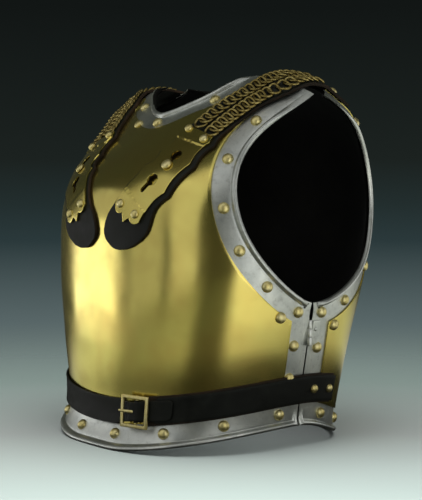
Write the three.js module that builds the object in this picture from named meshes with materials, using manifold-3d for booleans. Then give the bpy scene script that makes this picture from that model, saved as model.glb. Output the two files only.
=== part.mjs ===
// Brass-faced cuirass: breast and back on a side hinge, chained shoulder straps, waist belt.
// Millimetres, +Z up, the breast faces -Y and the wearer's left is +X.
import * as THREE from 'three';
import { mergeVertices } from 'three/addons/utils/BufferGeometryUtils.js';
import Module from 'manifold-3d';

const wasm = await Module();
wasm.setup();

// Overall size of the torso, which the sections, the openings and the straps take shares of
const torso = { height: 416, halfWidth: 188, breastDepth: 168, backDepth: 168 };

// Torso sections from the hem up. Breast and back meet on the line, the depths are measured from
// it, and the power squares the superellipse's corners.
const sections = [
  {
    heightShare: 0, widthShare: 0.8298, breastShare: 1,
    backShare: 0.6905, lineShare: 0, power: 2.6,
  },
  {
    heightShare: 0.0962, widthShare: 0.8404, breastShare: 0.8929,
    backShare: 0.7143, lineShare: 0, power: 2.6,
  },
  {
    heightShare: 0.2764, widthShare: 0.9149, breastShare: 0.8988,
    backShare: 0.7917, lineShare: 0, power: 2.6,
  },
  {
    heightShare: 0.4808, widthShare: 0.9894, breastShare: 0.8929,
    backShare: 0.9226, lineShare: 0, power: 2.6,
  },
  {
    heightShare: 0.6851, widthShare: 1, breastShare: 0.8631,
    backShare: 1, lineShare: 0.0179, power: 2.4,
  },
  {
    heightShare: 0.8654, widthShare: 0.9681, breastShare: 0.5238,
    backShare: 0.8333, lineShare: 0.0714, power: 2.1,
  },
  {
    heightShare: 0.9327, widthShare: 0.9096, breastShare: 0.369,
    backShare: 0.6429, lineShare: 0.0893, power: 1.8,
  },
  {
    heightShare: 0.9663, widthShare: 0.7979, breastShare: 0.2976,
    backShare: 0.5, lineShare: 0.0952, power: 1.7,
  },
  {
    heightShare: 0.988, widthShare: 0.6489, breastShare: 0.2143,
    backShare: 0.3333, lineShare: 0.0952, power: 1.7,
  },
  {
    heightShare: 1, widthShare: 0.4787, breastShare: 0.0833,
    backShare: 0.119, lineShare: 0.0952, power: 1.7,
  },
];
const bulgeLevelShare = 4 / 9;

// Openings and edges
const hemRise = 24;
const hemFlatShare = 0.2;
const armholeHeight = 0.6587 * torso.height;
const armholeRadius = 0.2716 * torso.height;
const shoulderHeight = 0.9087 * torso.height;
const neckHalfWidth = 0.4521 * torso.halfWidth;
const neckTop = 0.9952 * torso.height;
const neckPower = 1.6;
const seamGap = 1;
const beadWidth = 7;
const beadHeight = 4;
const borderWidth = 27;

// Sheet thicknesses and clearances
const clearance = 0.4;
const sheetGap = 0.8;
const steel = 2;
const brass = 1;
const lining = 1.5;
const leather = 2.2;

const breast = {
  side: -1, depth: 'breastDepth', neckLowShare: 0.8942, armholeReachShare: 0.5665, armholeLeanShare: 0.0595,
  armholeLowPower: 1.53, armholeTopPower: 2.03,
  hemPower: 1.7, hemPitch: 66, liningGap: 1.1, armholeStudShares: [0.197, 0.334, 0.477, 0.621],
  seamStudShares: [0.2764, 0.3654], seamStudDepth: 20,
};
const back = {
  side: 1, depth: 'backDepth', neckLowShare: 0.9279, armholeReachShare: 0.6706, armholeLeanShare: 0.1548,
  armholeLowPower: 1.24, armholeTopPower: 1.78,
  hemPower: 5, hemPitch: 55, liningGap: 2, armholeStudShares: [0.159, 0.302, 0.446, 0.589, 0.732],
  seamStudShares: [0.2668, 0.3606], seamStudDepth: 15,
};

// Studs and rivets
const studRadius = 6;
const studRise = 4.6;
const studSinkShare = 0.8;
const rivetRadius = 4.4;
const rivetRise = 3.4;
const hemStudHeight = 16;
const studInset = 14;
const hemStudCount = 4;
const neckStudShare = 0.66;
const domeEdgeShare = 0.8;
const domeRiseShare = 0.7;

// Hinge under the wearer's left armhole, on an upright axis in the plane of the seams
const hinge = {
  outset: 1.14, heightShare: 0.3077, length: 28, knuckleRadius: 3, pinRadius: 1.3, bore: 1.5, joint: 0.3,
  leafFoot: 4, leafHead: 2, leafReach: 14, leafThickness: 1.2, notch: 4, upperGap: 2.5,
  rivetDepth: 8, rivetLift: 4, rivetRadius: 2.2, rivetRise: 1.3, armShare: 0.6, footShare: 0.8,
};

// Left shoulder strap: places on the breast from the tip up, the crest, then places on the back
const strapPlaces = [
  { acrossShare: 0.1755, heightShare: 0.5264 },
  { acrossShare: 0.2702, heightShare: 0.6305 },
  { acrossShare: 0.4202, heightShare: 0.744 },
  { acrossShare: 0.4894, heightShare: 0.8269 },
  { acrossShare: 0.5479, heightShare: 0.8798 },
  { acrossShare: 0.6223, heightShare: 0.9279 },
  { acrossShare: 0.6755, heightShare: 0.9615 },
];
const strapCrest = { acrossShare: 0.6915, rise: 0.4 };
const strapBackPlaces = [
  { acrossShare: 0.6968, heightShare: 0.9639 },
  { acrossShare: 0.7021, heightShare: 0.9447 },
  { acrossShare: 0.7074, heightShare: 0.9231 },
];
const strap = {
  lift: 3.2, halfWidth: 21, bridge: 14, settle: 24, tipHalfWidth: 29, tipLength: 26, shoulderHalfWidth: 26,
  tipShare: 0.9, junctionShare: 0.8413, pivotShare: 0.3155, joint: 0.5,
};

// Keyhole plate on the strap's front end, and the stud that it hooks on
const keyPlate = {
  gap: 0.4, thickness: 1.4, halfWidth: 22, scallop: 2, scallops: 3, footShare: 0.5913, lobe: 12, point: 7,
  keyholeShares: [0.744, 0.6707], slot: 5.4, eye: 13.5, eyeRise: 13,
  lowRivetShare: 0.6305, lowRivetAcross: 13.9, endRivetShare: 0.8257, endRivetAcross: 16.5,
};
const strapStud = {
  foot: 4, footRise: 1.2, neck: 2.2, head: 6, headRise: 3.9, seat: 1.7,
  rimShare: 0.3, crownShare: 0.7, crownRiseShare: 0.8,
};
const anchorStudShare = 0.4167;

// Curb chain, two rows on each strap
const chain = {
  rowOffset: 7.2, length: 16.5, width: 12, wire: 2.3, pitch: 11.8, sway: 1.4, startGap: 3, endGap: 5,
};

// Waist belt
const belt = {
  height: 39, rise: 27, halfWidth: 14.5, endHalfWidth: 12, lift: 3.2, seam: 1.5, endDepth: 52,
  nearRivetDepth: 15, farRivetDepth: 41, rightPivotDepth: 12, rightEndDepth: 55, joint: 0.5, tail: 44,
  narrowing: 24, reachShare: 0.95, startShare: 1.5, runShare: 1.3, tailShare: 0.75,
};

// Buckle, with its heights above the torso's skin
const buckle = {
  turnShare: 0.2483, length: 38, height: 35, bar: 3.6, low: 8.4, centreBar: 1.3, centreLift: 7.2,
  roll: 2.9, rollBore: 1.6, prongWidth: 4, prongEye: 3.1, prongThickness: 2, prongSlot: 6,
  slotStart: -11, slotEnd: 6.5, crest: 10.5, underBar: 4.2, overBelt: 5.9, restShare: 1.6, lugShare: 1.5,
};

// Numbers of the method: a small turn and rise for directions, and a tolerance
const nudgeShare = 0.01;
const nudgeRise = 0.4;
const tolerance = 0.01;
const steps = 400;

const finish = (color, metalness, roughness) => (
  new THREE.MeshStandardMaterial({ color, metalness, roughness })
);
const finishes = {
  steel: finish('#b9bcbc', 1, 0.28),
  brass: finish('#b9a24c', 1, 0.3),
  stud: finish('#d8c878', 1, 0.3),
  chain: finish('#8c7a3e', 1, 0.45),
  leather: finish('#1c1a18', 0, 0.6),
  lining: finish('#141212', 0, 0.9),
};

// Catmull-Rom value of one size between the sections, at a level from 0 to 1
function sizeAt(key, level) {
  const last = sections.length - 1;
  const place = level * last;
  const index = Math.min(Math.floor(place), last - 1);
  const share = place - index;
  const value = (i) => {
    if (i < 0) return 2 * sections[0][key] - sections[1][key];
    if (i > last) return 2 * sections[last][key] - sections[last - 1][key];
    return sections[i][key];
  };
  const [a, b, c, d] = [value(index - 1), value(index), value(index + 1), value(index + 2)];
  const slope = (c - a) * share;
  const bend = (2 * a - 5 * b + 4 * c - d) * share ** 2;
  const twist = (3 * b - a - 3 * c + d) * share ** 3;
  return b + (slope + bend + twist) / 2;
}

// Level from 0 to 1 at which a rising or falling size passes a value, from a first level up
function levelWhere(key, value, first) {
  const rises = sizeAt(key, 1) > sizeAt(key, first);
  let low = first;
  let high = 1;
  while (high - low > 1e-6) {
    const middle = (low + high) / 2;
    if ((sizeAt(key, middle) < value) === rises) low = middle;
    else high = middle;
  }
  return low;
}

// Height at which the shoulders come in to a place across
const crownHeight = (acrossShare) => (
  torso.height * sizeAt('heightShare', levelWhere('widthShare', acrossShare, bulgeLevelShare))
);

function sectionAt(height) {
  const level = levelWhere('heightShare', height / torso.height, 0);
  return {
    halfWidth: torso.halfWidth * sizeAt('widthShare', level),
    breastDepth: torso.breastDepth * sizeAt('breastShare', level),
    backDepth: torso.backDepth * sizeAt('backShare', level),
    line: torso.backDepth * sizeAt('lineShare', level),
    power: sizeAt('power', level),
  };
}

// Point of the torso's skin, where turn is the angle from the plate's own middle
function skin(plate, turn, height) {
  const { halfWidth, line, power, [plate.depth]: depth } = sectionAt(height);
  const round = Math.abs(Math.sin(turn)) ** power + Math.abs(Math.cos(turn)) ** power;
  const reach = round ** (-1 / power);
  return new THREE.Vector3(
    halfWidth * reach * Math.sin(turn),
    line + plate.side * depth * reach * Math.cos(turn),
    height,
  );
}

function outward(plate, turn, height) {
  const at = (turned, rise) => skin(plate, turn + turned, height + rise);
  const across = at(nudgeShare, 0).sub(at(-nudgeShare, 0));
  const upward = at(0, nudgeRise).sub(at(0, -nudgeRise));
  const normal = across.cross(upward).normalize();
  return normal.multiplyScalar(-plate.side);
}

const raised = (plate, turn, height, lift) => (
  skin(plate, turn, height).addScaledVector(outward(plate, turn, height), lift)
);

// Turn at a place given across the torso, or from front to back
function turnAcross(plate, across, height) {
  const { halfWidth, power } = sectionAt(height);
  const share = Math.min(Math.abs(across) / halfWidth, 1);
  return Math.sign(across) * Math.atan2(share, (1 - share ** power) ** (1 / power));
}

function turnAtDepth(plate, depth, height) {
  const { line, power, [plate.depth]: reach } = sectionAt(height);
  const share = Math.max(plate.side * (depth - line), seamGap) / reach;
  return Math.atan2((1 - share ** power) ** (1 / power), share);
}

function spotOf(plate, point) {
  const { halfWidth, line, [plate.depth]: reach } = sectionAt(point.z);
  const turn = Math.atan2(point.x / halfWidth, plate.side * (point.y - line) / reach);
  return { turn, height: point.z };
}

const mix = THREE.MathUtils.lerp;

// Edges of a plate as spots on the skin, each moved in from the edge by an inset
function hemHeight(plate, turn) {
  const share = (Math.abs(Math.sin(turn)) - hemFlatShare) / (1 - hemFlatShare);
  return hemRise * Math.max(share, 0) ** plate.hemPower;
}

function armholeSpot(plate, sweep) {
  const height = armholeHeight - armholeRadius * Math.cos(sweep);
  const lean = torso.backDepth * plate.armholeLeanShare * (1 - Math.cos(sweep)) / 2;
  const reach = torso[plate.depth] * plate.armholeReachShare;
  const power = height < armholeHeight ? plate.armholeLowPower : plate.armholeTopPower;
  const bow = plate.side * reach * Math.abs(Math.sin(sweep)) ** power;
  return { turn: turnAtDepth(plate, lean + bow, height), height };
}

function neckSpot(plate, share) {
  const height = mix(torso.height * plate.neckLowShare, neckTop, Math.abs(share) ** neckPower);
  return { turn: turnAcross(plate, neckHalfWidth * share, height), height };
}

const skinAt = (plate, spot) => skin(plate, spot.turn, spot.height);
const offLine = (plate, spot) => (
  plate.side * (skinAt(plate, spot).y - sectionAt(spot.height).line)
);

function insetSpot(plate, edge, place, inset, centre) {
  const spot = edge(plate, place);
  if (inset === 0) return spot;
  const point = skinAt(plate, spot);
  const at = (step) => skinAt(plate, edge(plate, place + step));
  const along = at(nudgeShare).sub(at(-nudgeShare));
  const away = along.cross(outward(plate, spot.turn, spot.height)).normalize();
  if (away.dot(point.clone().sub(centre)) < 0) away.negate();
  return spotOf(plate, point.addScaledVector(away, inset));
}

const spread = (count, make) => Array.from({ length: count + 1 }, (_, i) => make(i / count));
const mixSpot = (a, b, share) => ({
  turn: mix(a.turn, b.turn, share), height: mix(a.height, b.height, share),
});

function lengthsOf(points) {
  const lengths = [0];
  points.slice(1).forEach((point, i) => lengths.push(lengths[i] + point.distanceTo(points[i])));
  return lengths;
}

// Evenly spaced spots along a run of spots
function resample(plate, spots, count) {
  const lengths = lengthsOf(spots.map((spot) => skinAt(plate, spot)));
  return spread(count, (share) => {
    const target = share * lengths.at(-1);
    const index = Math.max(lengths.findIndex((length) => length >= target - 1e-9), 1);
    const span = lengths[index] - lengths[index - 1] || 1;
    return mixSpot(spots[index - 1], spots[index], (target - lengths[index - 1]) / span);
  });
}

// Middles of the openings, which the edges move away from
const armCentre = new THREE.Vector3(torso.halfWidth, 0, armholeHeight);
const neckCentre = new THREE.Vector3(0, 0, neckTop);

// Parts that each edge is divided into
const counts = { seam: 4, armhole: 10, neck: 7, shoulder: 2 };

// The wearer's left half of a plate's outline: hem, then seam and armhole, then neck and shoulder
function outline(plate, inset) {
  const fine = 60;
  const seamDepth = seamGap + inset;
  const clearOuter = offLine(plate, armholeSpot(plate, Math.PI)) + inset;
  const clearInner = offLine(plate, neckSpot(plate, 1)) + inset;
  const clearOf = (spot) => (spot.height < armholeHeight ? seamDepth : clearOuter) - tolerance;
  const armhole = spread(fine, (share) => insetSpot(plate, armholeSpot, Math.PI * share, inset, armCentre))
    .filter((spot) => offLine(plate, spot) > clearOf(spot));
  const neck = spread(fine, (share) => insetSpot(plate, neckSpot, share, inset, neckCentre))
    .filter((spot) => offLine(plate, spot) > clearInner - tolerance);
  neck[0].turn = 0;
  const seamSpot = (height) => ({ turn: turnAtDepth(plate, plate.side * seamDepth, height), height });
  const foot = seamSpot(hemRise + inset);
  const seam = spread(fine, (share) => seamSpot(mix(foot.height, armhole[0].height, share)));
  const hem = spread(fine, (share) => {
    const turn = share * foot.turn;
    return { turn, height: share === 1 ? foot.height : hemHeight(plate, turn) + inset };
  });
  return {
    bottom: resample(plate, hem, counts.neck + counts.shoulder),
    side: [...resample(plate, seam, counts.seam).slice(0, -1),
      ...resample(plate, armhole, counts.armhole)],
    top: [...resample(plate, neck, counts.neck).slice(0, -1),
      ...resample(plate, [neck.at(-1), armhole.at(-1)], counts.shoulder)],
  };
}

// A whole outline filled with rows of spots from the hem up
function fill({ bottom, side, top }) {
  const rows = side.length - 1;
  const half = bottom.length - 1;
  const mirror = (spot) => ({ turn: -spot.turn, height: spot.height });
  const edge = (spots, column) => (column < 0 ? mirror(spots[-column]) : spots[column]);
  return spread(rows, (v) => Array.from({ length: 2 * half + 1 }, (_, i) => {
    const column = i - half;
    const u = i / (2 * half);
    const flank = side[Math.round(v * rows)];
    const rising = mixSpot(edge(bottom, column), edge(top, column), v);
    const crossing = mixSpot(mirror(flank), flank, u);
    const low = mixSpot(mirror(bottom[half]), bottom[half], u);
    const high = mixSpot(mirror(top[half]), top[half], u);
    const corner = mixSpot(low, high, v);
    return {
      turn: rising.turn + crossing.turn - corner.turn,
      height: rising.height + crossing.height - corner.height,
    };
  }));
}

// The loop round an outline, from the wearer's right hem corner by the hem, each spot with its edge
function loop({ bottom, side, top }) {
  const named = (spots, name) => spots.map((spot, i) => ({ ...spot, edge: name(i) }));
  const mirror = (spots) => spots.map((spot) => ({ ...spot, turn: -spot.turn }));
  const hem = named(bottom, () => 'hem');
  const flank = named(side, (i) => (i <= counts.seam ? 'seam' : 'armhole')).slice(1);
  const crown = named(top, (i) => (i < counts.neck ? 'neck' : 'shoulder')).slice(0, -1).reverse();
  return [
    ...mirror(hem).slice(1).reverse(), ...hem, ...flank, ...crown,
    ...mirror(crown).reverse().slice(1), ...mirror(flank).reverse(),
  ];
}

function solidOf(points, faces) {
  const geometry = new THREE.BufferGeometry().setFromPoints(points);
  const volume = faces.reduce((sum, [a, b, c]) => (
    sum + points[a].dot(points[b].clone().cross(points[c]))
  ), 0);
  const wound = volume < 0 ? faces.map(([a, b, c]) => [a, c, b]) : faces;
  return geometry.setIndex(wound.flat());
}

const quad = (a, b, c, d) => [[a, b, c], [a, c, d]];

// A plate as a closed sheet: spots filled inside the last inset, and one loop at each other inset.
// place(spot, outer) gives the point on the outer or the inner face.
function sheet(plate, insets, place, columnStep = 1) {
  const outlines = insets.map((inset) => outline(plate, inset));
  const grid = fill(outlines.at(-1)).map((row) => row.filter((_, column) => column % columnStep === 0));
  const [rows, columns] = [grid.length - 1, grid[0].length - 1];
  const spots = grid.flat();
  const at = (row, column) => row * (columns + 1) + column;
  const inner = [
    ...spread(columns, (share) => at(0, Math.round(share * columns))),
    ...spread(rows, (share) => at(Math.round(share * rows), columns)).slice(1),
    ...spread(columns, (share) => at(rows, columns - Math.round(share * columns))).slice(1),
    ...spread(rows, (share) => at(rows - Math.round(share * rows), 0)).slice(1, -1),
  ];
  const loops = outlines.slice(0, -1).map((each, ring) => {
    const ringSpots = loop(each).map((spot) => ({ ...spot, ring: ring + 1 }));
    const first = spots.length;
    spots.push(...ringSpots);
    return ringSpots.map((_, i) => first + i);
  });
  const rings = [...loops, inner];
  const faces = [];
  for (let row = 0; row < rows; row += 1) {
    for (let column = 0; column < columns; column += 1) {
      faces.push(...quad(at(row, column), at(row, column + 1), at(row + 1, column + 1), at(row + 1, column)));
    }
  }
  rings.slice(1).forEach((ring, k) => ring.forEach((spot, i) => {
    const next = (i + 1) % ring.length;
    faces.push(...quad(rings[k][i], rings[k][next], ring[next], spot));
  }));
  const total = spots.length;
  const points = [...spots.map((spot) => place(spot, true)), ...spots.map((spot) => place(spot, false))];
  const rim = rings[0].flatMap((spot, i) => {
    const next = rings[0][(i + 1) % rings[0].length];
    return quad(next, spot, spot + total, next + total);
  });
  const underside = faces.map(([a, b, c]) => [a + total, c + total, b + total]);
  return solidOf(points, [...faces, ...underside, ...rim]);
}

// Booleans
function asManifold(geometry) {
  const bare = geometry.clone();
  bare.deleteAttribute('normal');
  bare.deleteAttribute('uv');
  const merged = mergeVertices(bare, 1e-5);
  return new wasm.Manifold(new wasm.Mesh({
    numProp: 3,
    vertProperties: new Float32Array(merged.attributes.position.array),
    triVerts: new Uint32Array(merged.index.array),
  }));
}

function fromManifold(solid) {
  const { numProp, vertProperties, triVerts } = solid.getMesh();
  const geometry = new THREE.BufferGeometry();
  const points = Array.from({ length: vertProperties.length / numProp }, (_, i) => (
    new THREE.Vector3().fromArray(vertProperties, i * numProp)
  ));
  return geometry.setFromPoints(points).setIndex(Array.from(triVerts));
}

const join = (first, ...rest) => (
  fromManifold(rest.reduce((solid, piece) => solid.add(asManifold(piece)), asManifold(first)))
);
const cut = (first, ...rest) => (
  fromManifold(rest.reduce((solid, piece) => solid.subtract(asManifold(piece)), asManifold(first)))
);

function mirrored(geometry) {
  const copy = geometry.clone();
  copy.scale(-1, 1, 1);
  if (!copy.index) copy.setIndex(Array.from({ length: copy.attributes.position.count }, (_, i) => i));
  const indices = Array.from(copy.index.array);
  for (let i = 0; i < indices.length; i += 3) {
    [indices[i + 1], indices[i + 2]] = [indices[i + 2], indices[i + 1]];
  }
  return copy.setIndex(indices);
}

// A frame stands at a point, with up off the surface, along the run, and across it
function frameOf(point, along, up) {
  const across = along.clone().cross(up).normalize();
  const forward = up.clone().cross(across).normalize();
  return { point, along: forward, up, across };
}
const framePoint = ({ point, along, up, across }, a, b, c) => (
  point.clone().addScaledVector(along, a).addScaledVector(across, b).addScaledVector(up, c)
);
const frameMatrix = ({ point, along, up, across }) => (
  new THREE.Matrix4().makeBasis(along, up.clone().cross(along), up).setPosition(point)
);
const placed = (geometry, frame) => geometry.applyMatrix4(frameMatrix(frame));

function surfaceFrame(plate, spot, lift) {
  const up = outward(plate, spot.turn, spot.height);
  const at = (turned) => skin(plate, spot.turn + turned, spot.height);
  const ahead = at(nudgeShare).sub(at(-nudgeShare));
  return frameOf(raised(plate, spot.turn, spot.height, lift), ahead.normalize(), up);
}

const lathe = (profile, segments) => {
  const geometry = new THREE.LatheGeometry(profile.map(([r, h]) => new THREE.Vector2(r, h)), segments);
  return geometry.rotateX(Math.PI / 2);
};

const dome = (radius, rise, sink, segments = 6) => lathe([
  [0, -sink], [radius, -sink], [radius * domeEdgeShare, rise * domeRiseShare], [0, rise],
], segments);

// A strip through sections, each with as many points under it as over it
function strip(slices) {
  const size = slices[0].under.length;
  const points = slices.flatMap(({ under, over }) => [...under, ...over.toReversed()]);
  const round = 2 * size;
  const last = round * (slices.length - 1);
  const faces = [];
  for (let k = 0; k < size - 1; k += 1) {
    const corners = [k, k + 1, round - 2 - k, round - 1 - k];
    faces.push(...quad(...corners.toReversed()), ...quad(...corners.map((corner) => corner + last)));
  }
  for (let i = 0; i < slices.length - 1; i += 1) {
    for (let k = 0; k < round; k += 1) {
      const next = (k + 1) % round;
      faces.push(...quad(round * i + k, round * i + next, round * (i + 1) + next, round * (i + 1) + k));
    }
  }
  return solidOf(points, faces);
}

// A closed ring of ridged section, along a loop of points with their outward directions
function ring(loopPoints, wire) {
  const half = wire / 2;
  const corners = [[half, -half], [0, half], [-half, -half]];
  const points = loopPoints.flatMap(({ point, out, up }) => corners.map(([reach, rise]) => (
    point.clone().addScaledVector(out, reach).addScaledVector(up, rise)
  )));
  const faces = loopPoints.flatMap((_, i) => corners.flatMap((_corner, k) => {
    const [here, there] = [i, (i + 1) % loopPoints.length].map((each) => each * corners.length);
    const next = (k + 1) % corners.length;
    return quad(here + k, here + next, there + next, there + k);
  }));
  return solidOf(points, faces);
}

const box = (low, high) => {
  const size = high.map((value, i) => value - low[i]);
  return new THREE.BoxGeometry(...size).translate(...low.map((value, i) => value + size[i] / 2));
};

// Sheet pieces of the torso

// Height of the turned edge at a spot of the outline, whose rings run in from the rim
const beadShares = [0, 1, 0.6, 0];
function beadAt(plate, spot) {
  if (!spot.ring || spot.edge === 'seam' || spot.edge === 'shoulder') return 0;
  const offSeam = (Math.abs(offLine(plate, spot)) - seamGap) / beadWidth - 1;
  const offShoulder = (shoulderHeight - spot.height) / borderWidth;
  const offCrown = (neckTop - spot.height) / beadWidth;
  const fades = { armhole: Math.min(offSeam, offShoulder), neck: offCrown, hem: 1 };
  const fade = THREE.MathUtils.clamp(fades[spot.edge], 0, 1);
  return beadHeight * fade * beadShares[spot.ring];
}

function steelPlace(plate) {
  return (spot, outer) => {
    const point = skinAt(plate, spot);
    const normal = outward(plate, spot.turn, spot.height);
    if (spot.ring === 1 && spot.edge === 'hem') normal.setZ(0).normalize();
    return point.addScaledVector(normal, outer ? beadAt(plate, spot) : -steel);
  };
}

const sheetPlace = (plate, low, high) => (spot, outer) => (
  raised(plate, spot.turn, spot.height, outer ? high : low)
);

const steelSheet = (plate) => (
  sheet(plate, [0, beadWidth / 2, beadWidth, borderWidth], steelPlace(plate))
);
const coverSheet = (plate, low, high, columnStep) => (
  sheet(plate, [borderWidth], sheetPlace(plate, low, high), columnStep)
);

function liningSheet(plate) {
  const top = -steel - plate.liningGap;
  return coverSheet(plate, top - lining, top, 2);
}

// Studs of the borders, each sunk into its sheet
const studAt = (plate, spot, lift = 0) => (
  placed(dome(studRadius, studRise, steel * studSinkShare), surfaceFrame(plate, spot, lift))
);

function hemStuds(plate) {
  const runs = spread(steps, (share) => {
    const turn = share * Math.PI / 2;
    return { turn, height: hemHeight(plate, turn) + hemStudHeight };
  });
  const lengths = lengthsOf(runs.map((spot) => skinAt(plate, spot)));
  return Array.from({ length: hemStudCount }, (_, i) => (
    runs.find((_spot, k) => lengths[k] >= plate.hemPitch * (i + 0.5)) ?? runs.at(-1)
  ));
}

function borderStuds(plate) {
  const armhole = plate.armholeStudShares.map((share) => (
    insetSpot(plate, armholeSpot, Math.PI * share, studInset, armCentre)
  ));
  const seam = plate.seamStudShares.map((share) => {
    const height = torso.height * share;
    return { turn: turnAtDepth(plate, plate.side * plate.seamStudDepth, height), height };
  });
  const neck = insetSpot(plate, neckSpot, neckStudShare, studInset, neckCentre);
  const half = [...hemStuds(plate), ...armhole, ...seam, neck];
  const middle = insetSpot(plate, neckSpot, tolerance, studInset, neckCentre);
  return [...half, ...half.map(({ turn, height }) => ({ turn: -turn, height })), middle];
}

// Straps

const crestHeight = crownHeight(strapCrest.acrossShare) + strapCrest.rise;

// Left strap from its tip on the breast to its end on the back, as frames by length
const strapRun = (() => {
  const spotsOf = (plate, places) => places.map(({ acrossShare, heightShare }) => {
    const height = torso.height * heightShare;
    return { plate, turn: turnAcross(plate, torso.halfWidth * acrossShare, height), height };
  });
  const crest = new THREE.Vector3(
    torso.halfWidth * strapCrest.acrossShare,
    sectionAt(torso.height).line,
    crestHeight + strap.lift,
  );
  const [front, rear] = [spotsOf(breast, strapPlaces), spotsOf(back, strapBackPlaces)].map((spots) => (
    spots.map(({ plate, turn, height }) => ({
      point: raised(plate, turn, height, strap.lift), up: outward(plate, turn, height),
    }))
  ));
  const middle = { point: crest, up: new THREE.Vector3(0, 0, 1) };
  const stops = [...front, middle, ...rear];
  const course = new THREE.CatmullRomCurve3(stops.map(({ point }) => point));
  const facing = new THREE.CatmullRomCurve3(stops.map(({ up }) => up));
  const points = spread(steps, (share) => course.getPoint(share));
  const normals = spread(steps, (share) => facing.getPoint(share).normalize());
  const lengths = lengthsOf(points);
  const at = (length) => {
    const index = Math.max(lengths.findIndex((each) => each >= length), 1);
    const share = (length - lengths[index - 1]) / (lengths[index] - lengths[index - 1]);
    const point = points[index - 1].clone().lerp(points[index], share);
    return frameOf(point, points[index].clone().sub(points[index - 1]), normals[index]);
  };
  const top = Math.round(steps * front.length / (stops.length - 1));
  return {
    at,
    total: lengths.at(-1),
    crest: lengths[top],
    atHeight: (share) => lengths[points.findIndex(({ z }) => z >= torso.height * share)],
    atDepth: (share) => lengths[points.findIndex(({ y }, i) => i >= top && y >= torso.backDepth * share)],
  };
})();

const strapFacets = 3;

// Section of a strap that lies on the breast or the back and runs straight across over the shoulder
function strapSection(length, half, low, high) {
  const frame = strapRun.at(length);
  const plate = length < strapRun.crest ? breast : back;
  const hold = THREE.MathUtils.clamp((Math.abs(length - strapRun.crest) - strap.bridge) / strap.settle, 0, 1);
  const side = (lift) => spread(strapFacets, (share) => {
    const flat = framePoint(frame, 0, half * (2 * share - 1), lift);
    const spot = spotOf(plate, flat);
    return flat.lerp(raised(plate, spot.turn, spot.height, strap.lift + lift), hold);
  });
  return { under: side(low), over: side(high) };
}

const strapPiece = (start, end, count, half, low, high) => (
  strip(spread(count, (share) => {
    const length = mix(start, end, share);
    return strapSection(length, half(length), low, high);
  }))
);

const junction = strapRun.atHeight(strap.junctionShare);
const pivotLength = strapRun.atDepth(strap.pivotShare);
const plateLow = leather + keyPlate.gap;
const plateHigh = plateLow + keyPlate.thickness;

// A prism through the strap, from its outline in lengths along and across it
function strapPrism(shape, frame, reach) {
  const options = { depth: 2 * reach, bevelEnabled: false, curveSegments: 3 };
  const geometry = new THREE.ExtrudeGeometry(shape, options);
  return geometry.translate(0, 0, -reach).applyMatrix4(frameMatrix(frame));
}

function keyholeShape(margin) {
  const slot = keyPlate.slot / 2 + margin;
  const eye = keyPlate.eye / 2 + margin;
  const meet = Math.asin(slot / eye);
  const shape = new THREE.Shape();
  shape.absarc(0, 0, slot, Math.PI / 2, 3 * Math.PI / 2, false);
  shape.absarc(keyPlate.eyeRise, 0, eye, Math.PI + meet, Math.PI - meet, false);
  return shape;
}

const keyholes = (margin) => keyPlate.keyholeShares.map((share) => (
  strapPrism(keyholeShape(margin), strapRun.at(strapRun.atHeight(share)), 2 * keyPlate.slot)
));

// Everything below the ogee end of the keyhole plate
function ogeeCutter() {
  const { halfWidth: half, lobe, point } = keyPlate;
  const shape = new THREE.Shape();
  shape.moveTo(-3 * lobe, 2 * half);
  shape.lineTo(-3 * lobe, -2 * half);
  shape.lineTo(lobe, -2 * half);
  shape.lineTo(lobe, -half);
  shape.quadraticCurveTo(-point, -half, -point, -half / 2);
  shape.quadraticCurveTo(-point, -half / 6, 0, -half / 6);
  shape.lineTo(-point / 2, 0);
  shape.lineTo(0, half / 6);
  shape.quadraticCurveTo(-point, half / 6, -point, half / 2);
  shape.quadraticCurveTo(-point, half, lobe, half);
  shape.lineTo(lobe, 2 * half);
  return strapPrism(shape, strapRun.at(strapRun.atHeight(keyPlate.footShare)), 2 * lobe);
}

const frontEnd = junction - strap.joint;
const plateFoot = strapRun.atHeight(keyPlate.footShare);
const scalloped = (length) => {
  const share = (length - plateFoot) / (frontEnd - plateFoot);
  return keyPlate.halfWidth - keyPlate.scallop * Math.sin(Math.PI * keyPlate.scallops * share) ** 2;
};
const tongueHalf = (length) => {
  const share = Math.min(length / strap.tipLength, 1);
  const taper = mix(strap.tipHalfWidth, strap.shoulderHalfWidth, length / frontEnd);
  return taper * Math.sqrt(1 - (1 - share) ** 2 * strap.tipShare);
};

const tongue = () => cut(strapPiece(0, frontEnd, 14, tongueHalf, 0, leather), ...keyholes(strap.joint));
const keyholePlate = () => cut(
  strapPiece(plateFoot - keyPlate.lobe, frontEnd, 15, scalloped, plateLow, plateHigh),
  ogeeCutter(),
  ...keyholes(0),
);
const strapLeather = () => (
  strapPiece(junction, pivotLength - strap.joint, 13, () => strap.halfWidth, 0, leather)
);
const anchorLeather = () => (
  strapPiece(pivotLength + strap.joint, strapRun.total, 3, () => strap.halfWidth, 0, leather)
);

// One curb link, twisted so that each end passes over one side of its neighbour and under the other
function curbLink(frame) {
  const halfLength = (chain.length - chain.wire) / 2;
  const halfWidth = (chain.width - chain.wire) / 2;
  const loopPoints = Array.from({ length: 6 }, (_, i) => {
    const angle = Math.PI * i / 3;
    const [x, y] = [Math.cos(angle), Math.sin(angle)];
    const out = frame.along.clone().multiplyScalar(x * halfWidth)
      .addScaledVector(frame.across, y * halfLength);
    return {
      point: framePoint(frame, halfLength * x, halfWidth * y, chain.sway * x * y),
      out: out.normalize(),
      up: frame.up,
    };
  });
  return ring(loopPoints, chain.wire);
}

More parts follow.
